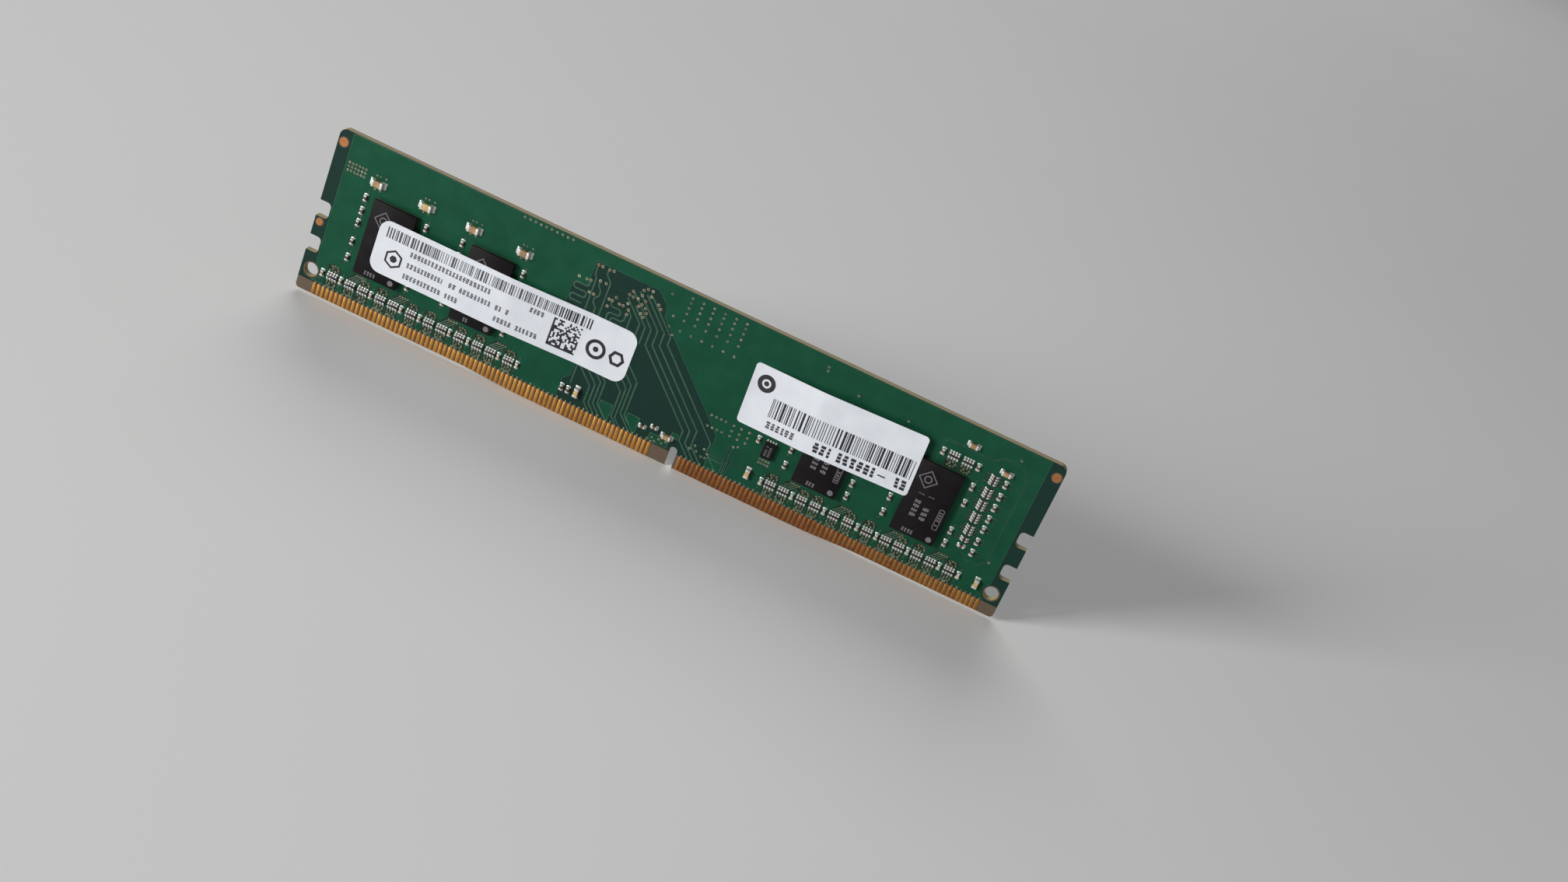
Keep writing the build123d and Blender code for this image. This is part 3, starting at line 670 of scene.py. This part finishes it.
def pour_via_places():
    """Vias of the front pour, as listed groups."""
    return [
        *grid(steps(65.7, 6, 2.0), (30.2, 29.3, 28.3, 27.2, 25.9, 23.9)),
        (63.7, 25.9), (63.7, 23.9), (64.7, 22.7), (62.2, 29.4),
        *grid(steps(34.5, 10, 1.0), (30.6,)),
        *grid((76.0, 76.9, 77.8, 78.7), (12.5, 10.4)),
        *grid((80.2, 81.6, 83.1), (12.5, 11.4, 10.4)),
        (81.5, 8.8), (82.2, 9.2), (75.4, 6.0), (75.9, 5.1), (74.65, 5.05), (77.1, 6.1),
        (77.8, 5.5), (77.0, 4.55), (77.75, 4.6), (68.0, 3.9), (68.6, 3.4), (69.2, 4.1),
        (69.9, 3.6), (70.5, 4.2), (67.3, 3.4),
        (90.9, 29.5), (91.0, 28.8), (97.3, 27.1), (106.5, 26.8), (128.7, 9.8), (126.0, 29.0),
        *grid(steps(3.1, 6, 0.62), (26.1, 25.4, 24.7)),
        *grid(steps(86.4, 4, 0.55), (8.3, 9.0)),
    ]


def window_via_places():
    """Vias among the lines of the dark window."""
    return [
        (48.95, 28.5), (49.7, 28.5), (51.0, 28.5), (51.75, 28.6), (50.15, 26.0), (51.25, 26.0),
        (47.9, 25.3), (46.5, 25.2), (48.6, 25.4), (49.0, 23.3), (49.85, 23.3), (53.65, 24.5),
        (52.6, 23.7), (53.2, 23.7), (54.55, 23.7), (55.2, 23.7), (55.85, 24.4), (56.3, 23.4),
        (56.3, 22.5), (52.7, 22.4), (55.6, 26.0), (56.0, 26.8), (56.3, 25.9), (57.15, 26.0),
        (57.6, 27.8), (57.65, 26.85), (58.2, 28.3), (59.1, 28.3), (59.15, 27.3), (58.5, 26.1),
        (58.1, 25.3), (57.7, 24.8), (58.9, 24.9), (59.35, 24.2), (58.45, 23.75), (59.0, 23.3),
        (60.75, 26.5), (61.35, 26.0),
    ]


def front_vias():
    pour = Vias()
    for x, z in pour_via_places():
        pour.add(x, z, VIA_PLAIN)
    for box in solid_boxes("large_supply_capacitors_ceramic"):
        for x in (box.x_low + 0.35, box.x_low + 1.0, box.x_high + 0.1):
            pour.add(x, box.z_high + 0.75)
        for x in (box.x_low + 0.6, box.x_high - 0.4):
            pour.add(x, box.z_low - 0.6)
    pour.finish("vias_in_pour", "via_green", "solder_mask")
    window = Vias()
    for x, z in window_via_places():
        window.add(x, z, VIA_WIDE)
    window.finish("vias_in_window", "via_metal", "copper", halo=False)


def raise_line(shape, points, width=LINE_WIDTH):
    """Raised line through a chain of points."""
    for a, b in zip(points, points[1:]):
        bead(shape, a, b, width, LINE_RISE + shape.lift())


class FanOut:
    """Fine lines with their vias, and the dark clearances round them."""

    def __init__(self, clearances):
        self.lines = Shape()
        self.vias = Vias()
        self.clearances = clearances

    def line(self, *points, width=LINE_WIDTH):
        raise_line(self.lines, points, width)

    def clear(self, outline):
        self.clearances.prism(outline, FOOT, FACE + 0.0015 + self.clearances.lift())


def arrays_of(node):
    """Terminals of a row of flat arrays, as (upper, lower) lists of boxes for each array."""
    boxes = solid_boxes(node)
    middle = sum(box.z for box in boxes) / len(boxes)
    upper = [box for box in boxes if box.z > middle]
    lower = [box for box in boxes if box.z < middle]
    return [(upper[i:i + 4], lower[i:i + 4]) for i in range(0, len(upper), 4)]


def slanted_bundle(fan, boxes):
    """Lines that leave an array's upper side together at 45 degrees, each with a via."""
    left, right = boxes[0].x_low - 0.3, boxes[-1].x_high
    z = boxes[0].z_high + 0.25
    reach = 1.35
    fan.clear([
        (left, z - 0.1), (right + 0.2, z - 0.1), (right + 0.3 + reach, z + reach),
        (right + reach, z + reach + 0.4), (left + reach, z + reach + 0.4),
    ])
    for box in boxes:
        fan.line((box.x, box.z_high), (box.x, z), (box.x + reach, z + reach))
        fan.vias.add(box.x + reach + 0.1, z + reach + 0.1)


def zigzag_vias(fan, boxes, direction, heights):
    """Short lines from an array's terminals to vias in two levels, and three more beyond."""
    first, last = boxes[0], boxes[-1]
    edge = first.z_high if direction > 0 else first.z_low
    beyond = max(heights) + 0.4
    low, high = sorted((edge + 0.2 * direction, edge + (beyond + 0.25) * direction))
    left, right = first.x_low - 0.28, last.x_high + 0.28
    fan.clear([
        (left, low + 0.2), (left + 0.18, low), (right - 0.18, low), (right, low + 0.2),
        (right, high - 0.3), (last.x_high, high), (first.x_low, high), (left, high - 0.2),
    ])
    ends = []
    for i, box in enumerate(boxes):
        z = edge + heights[i % 2] * direction
        fan.line((box.x, edge), (box.x, z))
        fan.vias.add(box.x, z)
        ends.append((box.x, z))
        if box is not last:
            fan.vias.add(box.x + 0.27, edge + (beyond + 0.12 * (i % 2)) * direction)
    return ends


def row_fan_out(fan, node):
    """Lines and vias above and below a row of resistor arrays, on dark clearances."""
    above = ((0.55, 1.0), None, (0.45, 0.82))
    below = ((0.45, 0.9), (0.95, 0.5), (0.6, 0.95))
    for number, (upper, lower) in enumerate(arrays_of(node)):
        if above[number % 3]:
            zigzag_vias(fan, upper, 1, above[number % 3])
        else:
            slanted_bundle(fan, upper)
        ends = zigzag_vias(fan, lower, -1, below[number % 3])
        for i, (x, z) in enumerate(ends):
            if (number + i) % 4 != 2:
                fan.line((x, z - 0.14), (x + (0.04, -0.04, 0.0)[i % 3], CONTACT_TOP))


def cap_vias(fan, node, reach=0.9):
    """A via beyond each terminal of the small capacitors."""
    boxes = solid_boxes(node)
    for number, box in enumerate(boxes):
        dx, dz = outward(box, boxes)
        shift = 0.25 if number % 2 else -0.25
        end = (box.x + dx * reach + abs(dz) * shift, box.z + dz * reach + abs(dx) * shift)
        fan.line((box.x, box.z), end, width=CAP_LINE_WIDTH)
        fan.vias.add(*end)


def column_fan_out(fan):
    """Lines and vias between the upright arrays, their capacitors and the package."""
    boxes = solid_boxes("address_resistors_terminals")
    for number, box in enumerate(boxes):
        dx, _ = facing(box, boxes)
        if not dx:
            continue
        edge = box.x_low if dx < 0 else box.x_high
        end = edge + dx * (0.55, 0.95, 0.7)[number % 3]
        left, right = min(edge, end) - 0.1, max(edge, end) + 0.25
        fan.clear(rounded(left, right, box.z - 0.2, box.z + 0.2, 0.1, 1))
        fan.line((edge, box.z), (end, box.z))
        if dx < 0:
            fan.vias.add(end, box.z)
    last_column = 125.0
    for box in solid_boxes("address_capacitors_end_caps"):
        if box.x_high > last_column:
            z = box.z + 0.15
            fan.line((box.x_high, box.z), (box.x_high + 0.7, z), width=CAP_LINE_WIDTH)
            fan.vias.add(box.x_high + 0.8, z)


def top_row_fan_out(fan):
    """Vias under the two flat arrays above the rightmost package."""
    boxes = solid_boxes("address_resistors_terminals")
    flat = [box for box in boxes if facing(box, boxes)[1] < 0]
    for start in range(0, len(flat), 4):
        zigzag_vias(fan, flat[start:start + 4], -1, (0.55, 0.95))


def contact_necks():
    """Short necks that join each contact to the lacquered card above it."""
    necks = Shape()
    for node in ("contacts_front_left", "contacts_front_right"):
        for number, box in enumerate(solid_boxes(node)):
            neck_top = (3.05, 3.2, 3.0)[number % 3]
            raise_line(necks, [(box.x, CONTACT_TOP), (box.x, neck_top)], NECK_WIDTH)
    make("contact_necks", necks, "via_mask")


def fan_out():
    clearances = Shape()
    plain = FanOut(clearances)
    covered = FanOut(clearances)
    for group in DATA_ROWS:
        row_fan_out(plain, group + "_terminals")
    for group in DECOUPLING:
        cap_vias(covered, group + "_end_caps")
    cap_vias(covered, "contact_row_capacitors_end_caps", 1.05)
    column_fan_out(covered)
    top_row_fan_out(plain)
    make("capacitor_lines", covered.lines, "pour_edge")
    covered.vias.finish("capacitor_vias", "via_covered", "solder_mask")
    make("fan_out_lines", plain.lines, "thin_mask")
    make("fan_out_clearances", clearances, "clearance")
    plain.vias.finish("fan_out_vias", "via_mask", "solder_mask")


def back_vias():
    """Vias that come through under each package and along both contact rows."""
    vias = Vias(BACK)
    columns = [c * BALL_PITCH for c in (-3.5, -2.5, -1.5, 1.5, 2.5, 3.5)]
    for number in range(1, 5):
        low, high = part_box(f"dram_{number}_mold_cap")
        x, z = card_place((low + high) / 2)
        for row in range(15):
            for column in columns:
                left_out = (row * 7 + round(column * 10)) % 5 == 0
                if not left_out:
                    vias.add(x + column, z + (row - 7) * BALL_PITCH)
    for x, z in pour_via_places():
        vias.add(x, z, VIA_PLAIN)
    stubs = Shape(BACK)
    for node in ("contacts_back_left", "contacts_back_right"):
        for number, box in enumerate(solid_boxes(node)):
            via_z = (3.9, None, 5.1)[number % 3]
            if via_z:
                bead(stubs, (box.x, CONTACT_TOP), (box.x, via_z), CAP_LINE_WIDTH, SHOULDER_RISE)
                vias.add(box.x, via_z)
    make("back_contact_lines", stubs, "thin_mask")
    vias.finish("back_vias", "via_mask", "solder_mask")


# ---- Solder ----

def fillet(shape, box, growth, rise):
    """Concave skirt of solder from its pad up the walls of a terminal.

    growth is how far it spreads past the box: (x low, x high, z low, z high)."""
    profile = ((1.0, 0.0), (0.86, 0.03), (0.5, 0.13), (0.24, 0.32), (0.08, 0.62), (0.0, 1.0))
    rings = []
    for spread, up in profile:
        grown = (
            box.x_low - growth[0] * spread, box.x_high + growth[1] * spread,
            box.z_low - growth[2] * spread, box.z_high + growth[3] * spread,
        )
        radius = 0.02 + 0.6 * spread * min(growth[0] + growth[1], growth[2] + growth[3])
        limit = 0.49 * min(grown[1] - grown[0], grown[3] - grown[2])
        outline = rounded(*grown, min(radius, limit), 2)
        rings.append(level(outline, FOOT + rise * up))
    shape.loft(rings)


def outward(box, others):
    """Unit step along X or Z from a terminal's nearest partner to the terminal."""
    rest = (other for other in others if other != box)
    partner = min(rest, key=lambda other: math.dist((box.x, box.z), (other.x, other.z)))
    dx, dz = box.x - partner.x, box.z - partner.z
    if abs(dx) > abs(dz):
        return math.copysign(1, dx), 0
    return 0, math.copysign(1, dz)


def facing(box, boxes):
    """Unit step from the terminal across the array to this one."""
    for other in boxes:
        dx, dz = box.x - other.x, box.z - other.z
        if abs(dx) < 0.05 and 0.6 < abs(dz) < 0.8:
            return 0, math.copysign(1, dz)
        if abs(dz) < 0.05 and 0.6 < abs(dx) < 0.8:
            return math.copysign(1, dx), 0
    return 0, 0


def growth(dx, dz, end, side, inner):
    """How far a skirt spreads on each side of a terminal, widest at the end it points to."""
    step = dx or dz
    pair = (end if step < 0 else inner, end if step > 0 else inner)
    return (*pair, side, side) if dx else (side, side, *pair)


def skirts(name, node, step, end, inner, side, rise):
    """Solder round each terminal of a node. step() gives the way that a terminal points."""
    boxes = solid_boxes(node)
    shape = Shape()
    for box in boxes:
        spread = growth(*step(box, boxes), end, side, inner)
        fillet(shape, box, spread, (box.top - FACE) * rise)
    make(name, shape, "solder", smooth=70)


def all_solder():
    for group in (*DECOUPLING, "contact_row_capacitors", "address_capacitors", "middle_capacitors"):
        skirts(group + "_solder", group + "_end_caps", outward, 0.27, 0.04, 0.16, 0.8)
    skirts("medium_supply_solder", "medium_supply_capacitors_end_caps", outward, 0.40, 0.05, 0.08, 0.75)
    skirts("large_supply_solder", "large_supply_capacitors_end_caps", outward, 0.55, 0.05, 0.06, 0.7)
    for group in (*DATA_ROWS, "address_resistors"):
        skirts(group + "_solder", group + "_terminals", facing, 0.28, 0.0, 0.035, 0.8)
    shape = Shape()
    low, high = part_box("spd_body")
    _, middle = card_place((low + high) / 2)
    for box in solid_boxes("spd_leads"):
        fillet(shape, box, growth(0, -1 if box.z_low < middle else 1, 0.16, 0.03, 0.0), 0.19)
    make("spd_solder", shape, "solder", smooth=70)


# ---- Package marks ----

def greeked(rng, length, height, gap, cell):
    """Slats in place of print, as (u low, u high, v low, v high): three of uneven length a cell."""
    slats = 3
    thick = height * PRINT_STROKE
    pitch = (height - thick) / (slats - 1)
    blocks = []
    u = 0.0
    while u < length:
        width = min(rng.uniform(*cell), length - u)
        if width > 0.15 and rng.random() > 0.08:
            for i in range(slats):
                left = rng.uniform(0.0, 0.22) * width
                right = width - rng.uniform(0.0, 0.22) * width
                blocks.append((u + left, u + right, i * pitch, i * pitch + thick))
        u += width + gap
    return blocks


class LaserMarks:
    """Marks on the top of a package, placed from its low left corner."""

    def __init__(self, node, corner):
        low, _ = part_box(node)
        self.x, self.z = card_place(low)
        self.top = -low.y / MM
        self.corner = corner
        self.shape = Shape()

    def bar(self, x_low, x_high, z_low, z_high):
        x, z = self.x, self.z
        outline = rounded(x + x_low, x + x_high, z + z_low, z + z_high, self.corner, 1)
        self.shape.prism(outline, self.top - MARK_SINK, self.top + MARK_RISE)

    def ring(self, x, z, inner, outer, sides=24, rise=MARK_RISE):
        loops = [circle(self.x + x, self.z + z, radius, sides) for radius in (inner, outer)]
        self.shape.washer(*loops, self.top - MARK_SINK, self.top + rise)

    def upright_print(self, x, z, blocks):
        """Greeked print that runs up the package."""
        for a, b, c, d in blocks:
            self.bar(x + c, x + d, z + a, z + b)


def package_marks(number):
    """Laser marks of one package: two greeked lines, a framed code, a diamond and a dot."""
    rng = random.Random(40 + number)
    marks = LaserMarks(f"dram_{number}_mold_cap", 0.03)
    under_main_label = number <= 2
    if not under_main_label:
        for x, z, length, height in ((2.1, 3.6, 4.6, 1.0), (3.9, 3.5, 4.8, 1.0)):
            for a, b, c, d in greeked(rng, length, height, 0.22, (0.62, 0.76)):
                marks.bar(x + height - d, x + height - c, z + a, z + b)
        low, high, left, right, line = 3.0, 7.0, 6.5, 7.45, 0.12
        for z in (low, high - line):
            marks.bar(left, right, z, z + line)
        for x in (left, right - line):
            marks.bar(x, x + line, low, high)
        marks.upright_print(left + 0.22, low + 0.3, greeked(rng, 3.4, 0.5, 0.12, (0.25, 0.5)))
    for a, b, c, d in greeked(rng, 2.1, 0.75, 0.14, (0.36, 0.44)):
        marks.bar(2.0 + a, 2.0 + b, 0.45 + c, 0.45 + d)
    marks.ring(2.6, 10.9, 1.5, 1.75, 4)
    marks.ring(2.6, 10.9, 0.5, 0.7)
    x, z = 6.95, 0.9
    dot = circle(marks.x + x, marks.z + z, 0.42, 28)
    marks.shape.prism(dot, marks.top - MARK_SINK, marks.top + 0.002)
    marks.ring(x, z, 0.42, 0.50, 28, 0.005)
    make(f"dram_{number}_marks", marks.shape, "laser")


def spd_mark():
    rng = random.Random(7)
    marks = LaserMarks("spd_body", 0.02)
    for x in (0.45, 1.1):
        marks.upright_print(x, 0.5, greeked(rng, 1.9, 0.4, 0.1, (0.2, 0.3)))
    make("spd_marks", marks.shape, "laser")


# ---- Labels ----

class Label:
    """A label's own places (u from its left edge, v from its low edge) on the card."""

    def __init__(self, node, length, height, radius, turn):
        self.node = node
        self.length = length
        self.height = height
        self.radius = radius
        self.angle = math.radians(turn)
        low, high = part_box(node)
        self.centre = card_place((low + high) / 2)
        mesh = nodes[node].data
        self.tree = BVHTree.FromPolygons(
            [v.co for v in mesh.vertices], [tuple(p.vertices) for p in mesh.polygons]
        )

    def place(self, u, v):
        du = u - self.length / 2
        dv = v - self.height / 2
        cosine, sine = math.cos(self.angle), math.sin(self.angle)
        return self.centre[0] + du * cosine - dv * sine, self.centre[1] + du * sine + dv * cosine

    def inside(self, u, v):
        """The nearest place a little inside the rounded outline."""
        core_u = min(max(u, self.radius), self.length - self.radius)
        core_v = min(max(v, self.radius), self.height - self.radius)
        beyond = math.dist((u, v), (core_u, core_v))
        share = min(1.0, (self.radius - EDGE_ROOM) / beyond) if beyond else 1.0
        return core_u + (u - core_u) * share, core_v + (v - core_v) * share

    def heights(self, u, v):
        """Underside and top of the CAD sheet at a place, found by rays from both faces."""
        x, z = self.place(*self.inside(u, v))
        far = 5.0
        top = self.tree.ray_cast(spot(x, z, far), Vector((0, 1, 0)))[0]
        under = self.tree.ray_cast(spot(x, z, -far), Vector((0, -1, 0)))[0]
        return -under.y / MM, -top.y / MM

    def surface(self, u, v):
        """Height of the finished sheet's face, with a slight dip off the packages."""
        _, top = self.heights(u, v)
        x, _ = self.place(u, v)
        return top - INK_ROOM - LABEL_SAG * self.dip(x)

    def dip(self, x):
        """0 on a package and at the glued end, up to 1 midway between two packages."""
        left = card_place(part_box("dram_1_mold_cap")[1])[0]
        right = card_place(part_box("dram_2_mold_cap")[0])[0]
        if self.node != "label_main" or not left < x < right:
            return 0.0
        return math.sin(math.pi * (x - left) / (right - left)) ** 2

    def rows(self):
        """v of each row, close together where the corners curve."""
        curve = [self.radius * (1 - math.cos(math.pi / 2 * i / 6)) for i in range(7)]
        count = 8
        flat = self.height - 2 * self.radius
        middle = [self.radius + flat * i / count for i in range(1, count)]
        return curve + middle + [self.height - v for v in reversed(curve)]

    def edge_inset(self, v):
        """How far the round corner sets the end of a row in."""
        d = min(v, self.height - v, self.radius)
        return self.radius - math.sqrt(self.radius ** 2 - (self.radius - d) ** 2)

    def sheet(self, name):
        """The label itself: a fine grid with thickness, in place of the CAD sheet."""
        columns = int(self.length * 2)
        wide = columns + 1
        rows = self.rows()
        shape = Shape()
        for layer in (0, 1):
            for v in rows:
                inset = self.edge_inset(v)
                for i in range(wide):
                    u = inset + (self.length - 2 * inset) * i / columns
                    x, z = self.place(u, v)
                    if layer:
                        height = self.surface(u, v)
                    else:
                        height = self.heights(u, v)[0] - LABEL_SAG * self.dip(x)
                    shape.verts.append(spot(x, z, height))
        count = wide * len(rows)
        for row in range(0, count - wide, wide):
            for a in range(row, row + columns):
                quad = (a, a + 1, a + 1 + wide, a + wide)
                shape.faces += [quad, tuple(k + count for k in reversed(quad))]
        rim = [*range(wide), *range(wide + columns, count, wide)]
        rim += [*range(count - 2, count - wide - 1, -1), *range(count - 2 * wide, 0, -wide)]
        for a, b in zip(rim, rim[1:] + rim[:1]):
            shape.faces.append((a, b, b + count, a + count))
        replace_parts(make(name, shape, "label_paper", smooth=50), self.node)

    def lay(self, outline):
        """An outline in label places as two rings of card points, just over the face."""
        places = [(*self.place(u, v), self.surface(u, v)) for u, v in outline]
        return [[(x, z, face + lift) for x, z, face in places] for lift in (-0.004, INK_THICK)]

    def block(self, shape, u_low, u_high, v_low, v_high):
        shape.loft(self.lay([(u_low, v_low), (u_high, v_low), (u_high, v_high), (u_low, v_high)]))

    def long_block(self, shape, u_low, u_high, v_low, v_high):
        """A wide block in lengths of about 1 mm, so that it follows the bends."""
        count = max(1, round(u_high - u_low))
        for i in range(count):
            a, b = (u_low + (u_high - u_low) * k / count for k in (i, i + 1))
            self.block(shape, a, b, v_low, v_high)

    def disc(self, shape, u, v, radius, sides=48):
        shape.loft(self.lay(circle(u, v, radius, sides)))

    def hoop(self, shape, u, v, outer, inner, sides=48, turn=0.0):
        outside, inside = (self.lay(circle(u, v, radius, sides, turn)) for radius in (outer, inner))
        shape.hoop([*outside, *reversed(inside)])

    def bars(self, shape, rng, u_low, u_high, v_low, v_high, module):
        """Upright bars of one to three modules, in no code."""
        u = u_low
        while u < u_high:
            width = module * rng.choice(BAR_MODULES)
            self.block(shape, u, min(u + width, u_high), v_low, v_high)
            u += width + module * rng.choice(BAR_MODULES)

    def print_line(self, shape, rng, u_low, u_high, v_low, v_high, gap, cell):
        """Greeked print: no letters, only blocks with the rhythm of a line."""
        for a, b, c, d in greeked(rng, u_high - u_low, v_high - v_low, gap, cell):
            self.block(shape, u_low + a, u_low + b, v_low + c, v_low + d)


def matrix_code(label, shape, rng, u0, v0, size, count):
    """Square of random cells with a solid low and left border."""
    cell = size / count
    for row in range(count):
        start = None
        for column in range(count + 1):
            border = row == 0 or column == 0
            on = column < count and (border or rng.random() < 0.48)
            if on and start is None:
                start = column
            if not on and start is not None:
                v = v0 + row * cell
                label.long_block(shape, u0 + start * cell, u0 + column * cell, v, v + cell)
                start = None


def main_label():
    label = Label(*MAIN_LABEL)
    label.sheet("label_main_sheet")
    rng = random.Random(11)
    for name, ink, u_low, u_high in (("faint_bars", "grey_ink", 1.5, 32.6), ("bars", "ink", 32.8, 39.8)):
        bars = Shape()
        label.bars(bars, rng, u_low, u_high, 6.8, 8.75, 0.13)
        make("label_main_" + name, bars, ink)
    text = Shape()
    for u_low, u_high, v_low in (
        (6.5, 21.7, 5.25), (28.9, 31.6, 5.4), (6.4, 13.2, 3.15), (14.4, 25.9, 3.15),
        (6.3, 16.9, 1.05), (23.5, 31.7, 1.15),
    ):
        label.print_line(text, rng, u_low, u_high, v_low, v_low + PRINT_HEIGHT, 0.12, (0.46, 0.62))
    make("label_main_print", text, "grey_ink")
    matrix = Shape()
    matrix_code(label, matrix, rng, 33.3, 1.2, 5.2, 16)
    make("label_main_matrix", matrix, "ink")
    marks = Shape()
    label.hoop(marks, 41.7, 4.0, 1.8, 1.2)
    label.disc(marks, 41.7, 4.0, 0.5)
    label.hoop(marks, 45.6, 4.0, 1.5, 0.9, 6)
    label.hoop(marks, 3.9, 3.5, 1.75, 1.35, 6, math.pi / 6)
    label.disc(marks, 3.9, 3.5, 0.7, 6)
    make("label_main_marks", marks, "ink")


def part_label():
    label = Label(*PART_LABEL)
    label.sheet("label_part_sheet")
    rng = random.Random(23)
    bars, text, bold, mark = Shape(), Shape(), Shape(), Shape()
    label.bars(bars, rng, 4.8, 30.9, 3.1, 6.6, 0.14)
    label.print_line(text, rng, 5.0, 10.4, 1.1, 2.35, 0.2, (0.6, 0.75))
    label.print_line(bold, rng, 13.7, 16.9, *BOLD_LINE, 0.25, (0.95, 1.1))
    label.print_line(bold, rng, 18.1, 25.0, *BOLD_LINE, 0.25, (0.85, 1.05))
    label.long_block(bold, 25.5, 26.9, 1.5, 1.75)
    label.print_line(bold, rng, 27.3, 30.8, *BOLD_LINE, 0.25, (0.85, 1.05))
    label.hoop(mark, 2.7, 8.4, 1.6, 0.8)
    label.disc(mark, 2.7, 8.4, 0.45)
    make("label_part_bars", bars, "ink")
    make("label_part_print", text, "grey_ink")
    make("label_part_bold_print", bold, "ink")
    make("label_part_mark", mark, "ink")


# ---- Scene ----

def add_camera():
    data = bpy.data.cameras.new("camera")
    data.lens = CAMERA_LENS
    data.sensor_width = CAMERA_SENSOR
    data.clip_start = 0.01
    data.clip_end = 100
    camera = add_object("camera", data)
    right = Vector(CAMERA_RIGHT).normalized()
    back = right.cross(Vector(CAMERA_UP)).normalized()
    turned = Matrix((right, back.cross(right), back)).transposed()
    camera.matrix_world = Matrix.Translation(CAMERA_PLACE) @ turned.to_4x4()
    bpy.context.scene.camera = camera


def area_light(name, place, size, energy, colour):
    """Soft square light aimed at the middle of the card."""
    data = bpy.data.lights.new(name, "AREA")
    data.shape = "SQUARE"
    data.size = size
    data.energy = energy
    data.color = colour
    light = add_object(name, data)
    target = Vector((0, 0, (CARD_HIGH.z - CARD_LOW.z) / 2))
    light.location = place
    light.rotation_euler = (Vector(place) - target).to_track_quat("Z", "Y").to_euler()


def add_lights():
    area_light("window_light", (-0.85, -0.86, 0.34), 0.36, 17.5, (1.0, 0.99, 0.98))
    area_light("fill_light", (0.6, -1.9, 1.5), 1.6, 3.5, (1.0, 0.97, 0.93))
    area_light("back_light", (-0.5, 1.8, 1.6), 1.6, 20.0, (1.0, 0.99, 0.97))
    world = bpy.data.worlds.new("studio")
    bpy.context.scene.world = world
    world.use_nodes = True
    background = world.node_tree.nodes["Background"]
    background.inputs["Color"].default_value = (0.86, 0.88, 0.9, 1.0)
    background.inputs["Strength"].default_value = 0.13


def add_floor():
    mesh = bpy.data.meshes.new("floor")
    corners = [(x * FLOOR_HALF, y * FLOOR_HALF, 0) for x, y in ((-1, -1), (1, -1), (1, 1), (-1, 1))]
    mesh.from_pydata(corners, [], [(0, 1, 2, 3)])
    mesh.materials.append(materials["floor"])
    add_object("floor", mesh)


make_materials()
add_camera()
add_lights()
add_floor()
dress_frame()
soften_frame()
line_relief("copper_front", FRONT, "front")
line_relief("copper_back", BACK, "back")
front_vias()
fan_out()
contact_necks()
back_vias()
all_solder()
for package in range(1, 5):
    package_marks(package)
spd_mark()
main_label()
part_label()
bpy.context.scene.view_settings.view_transform = "Standard"
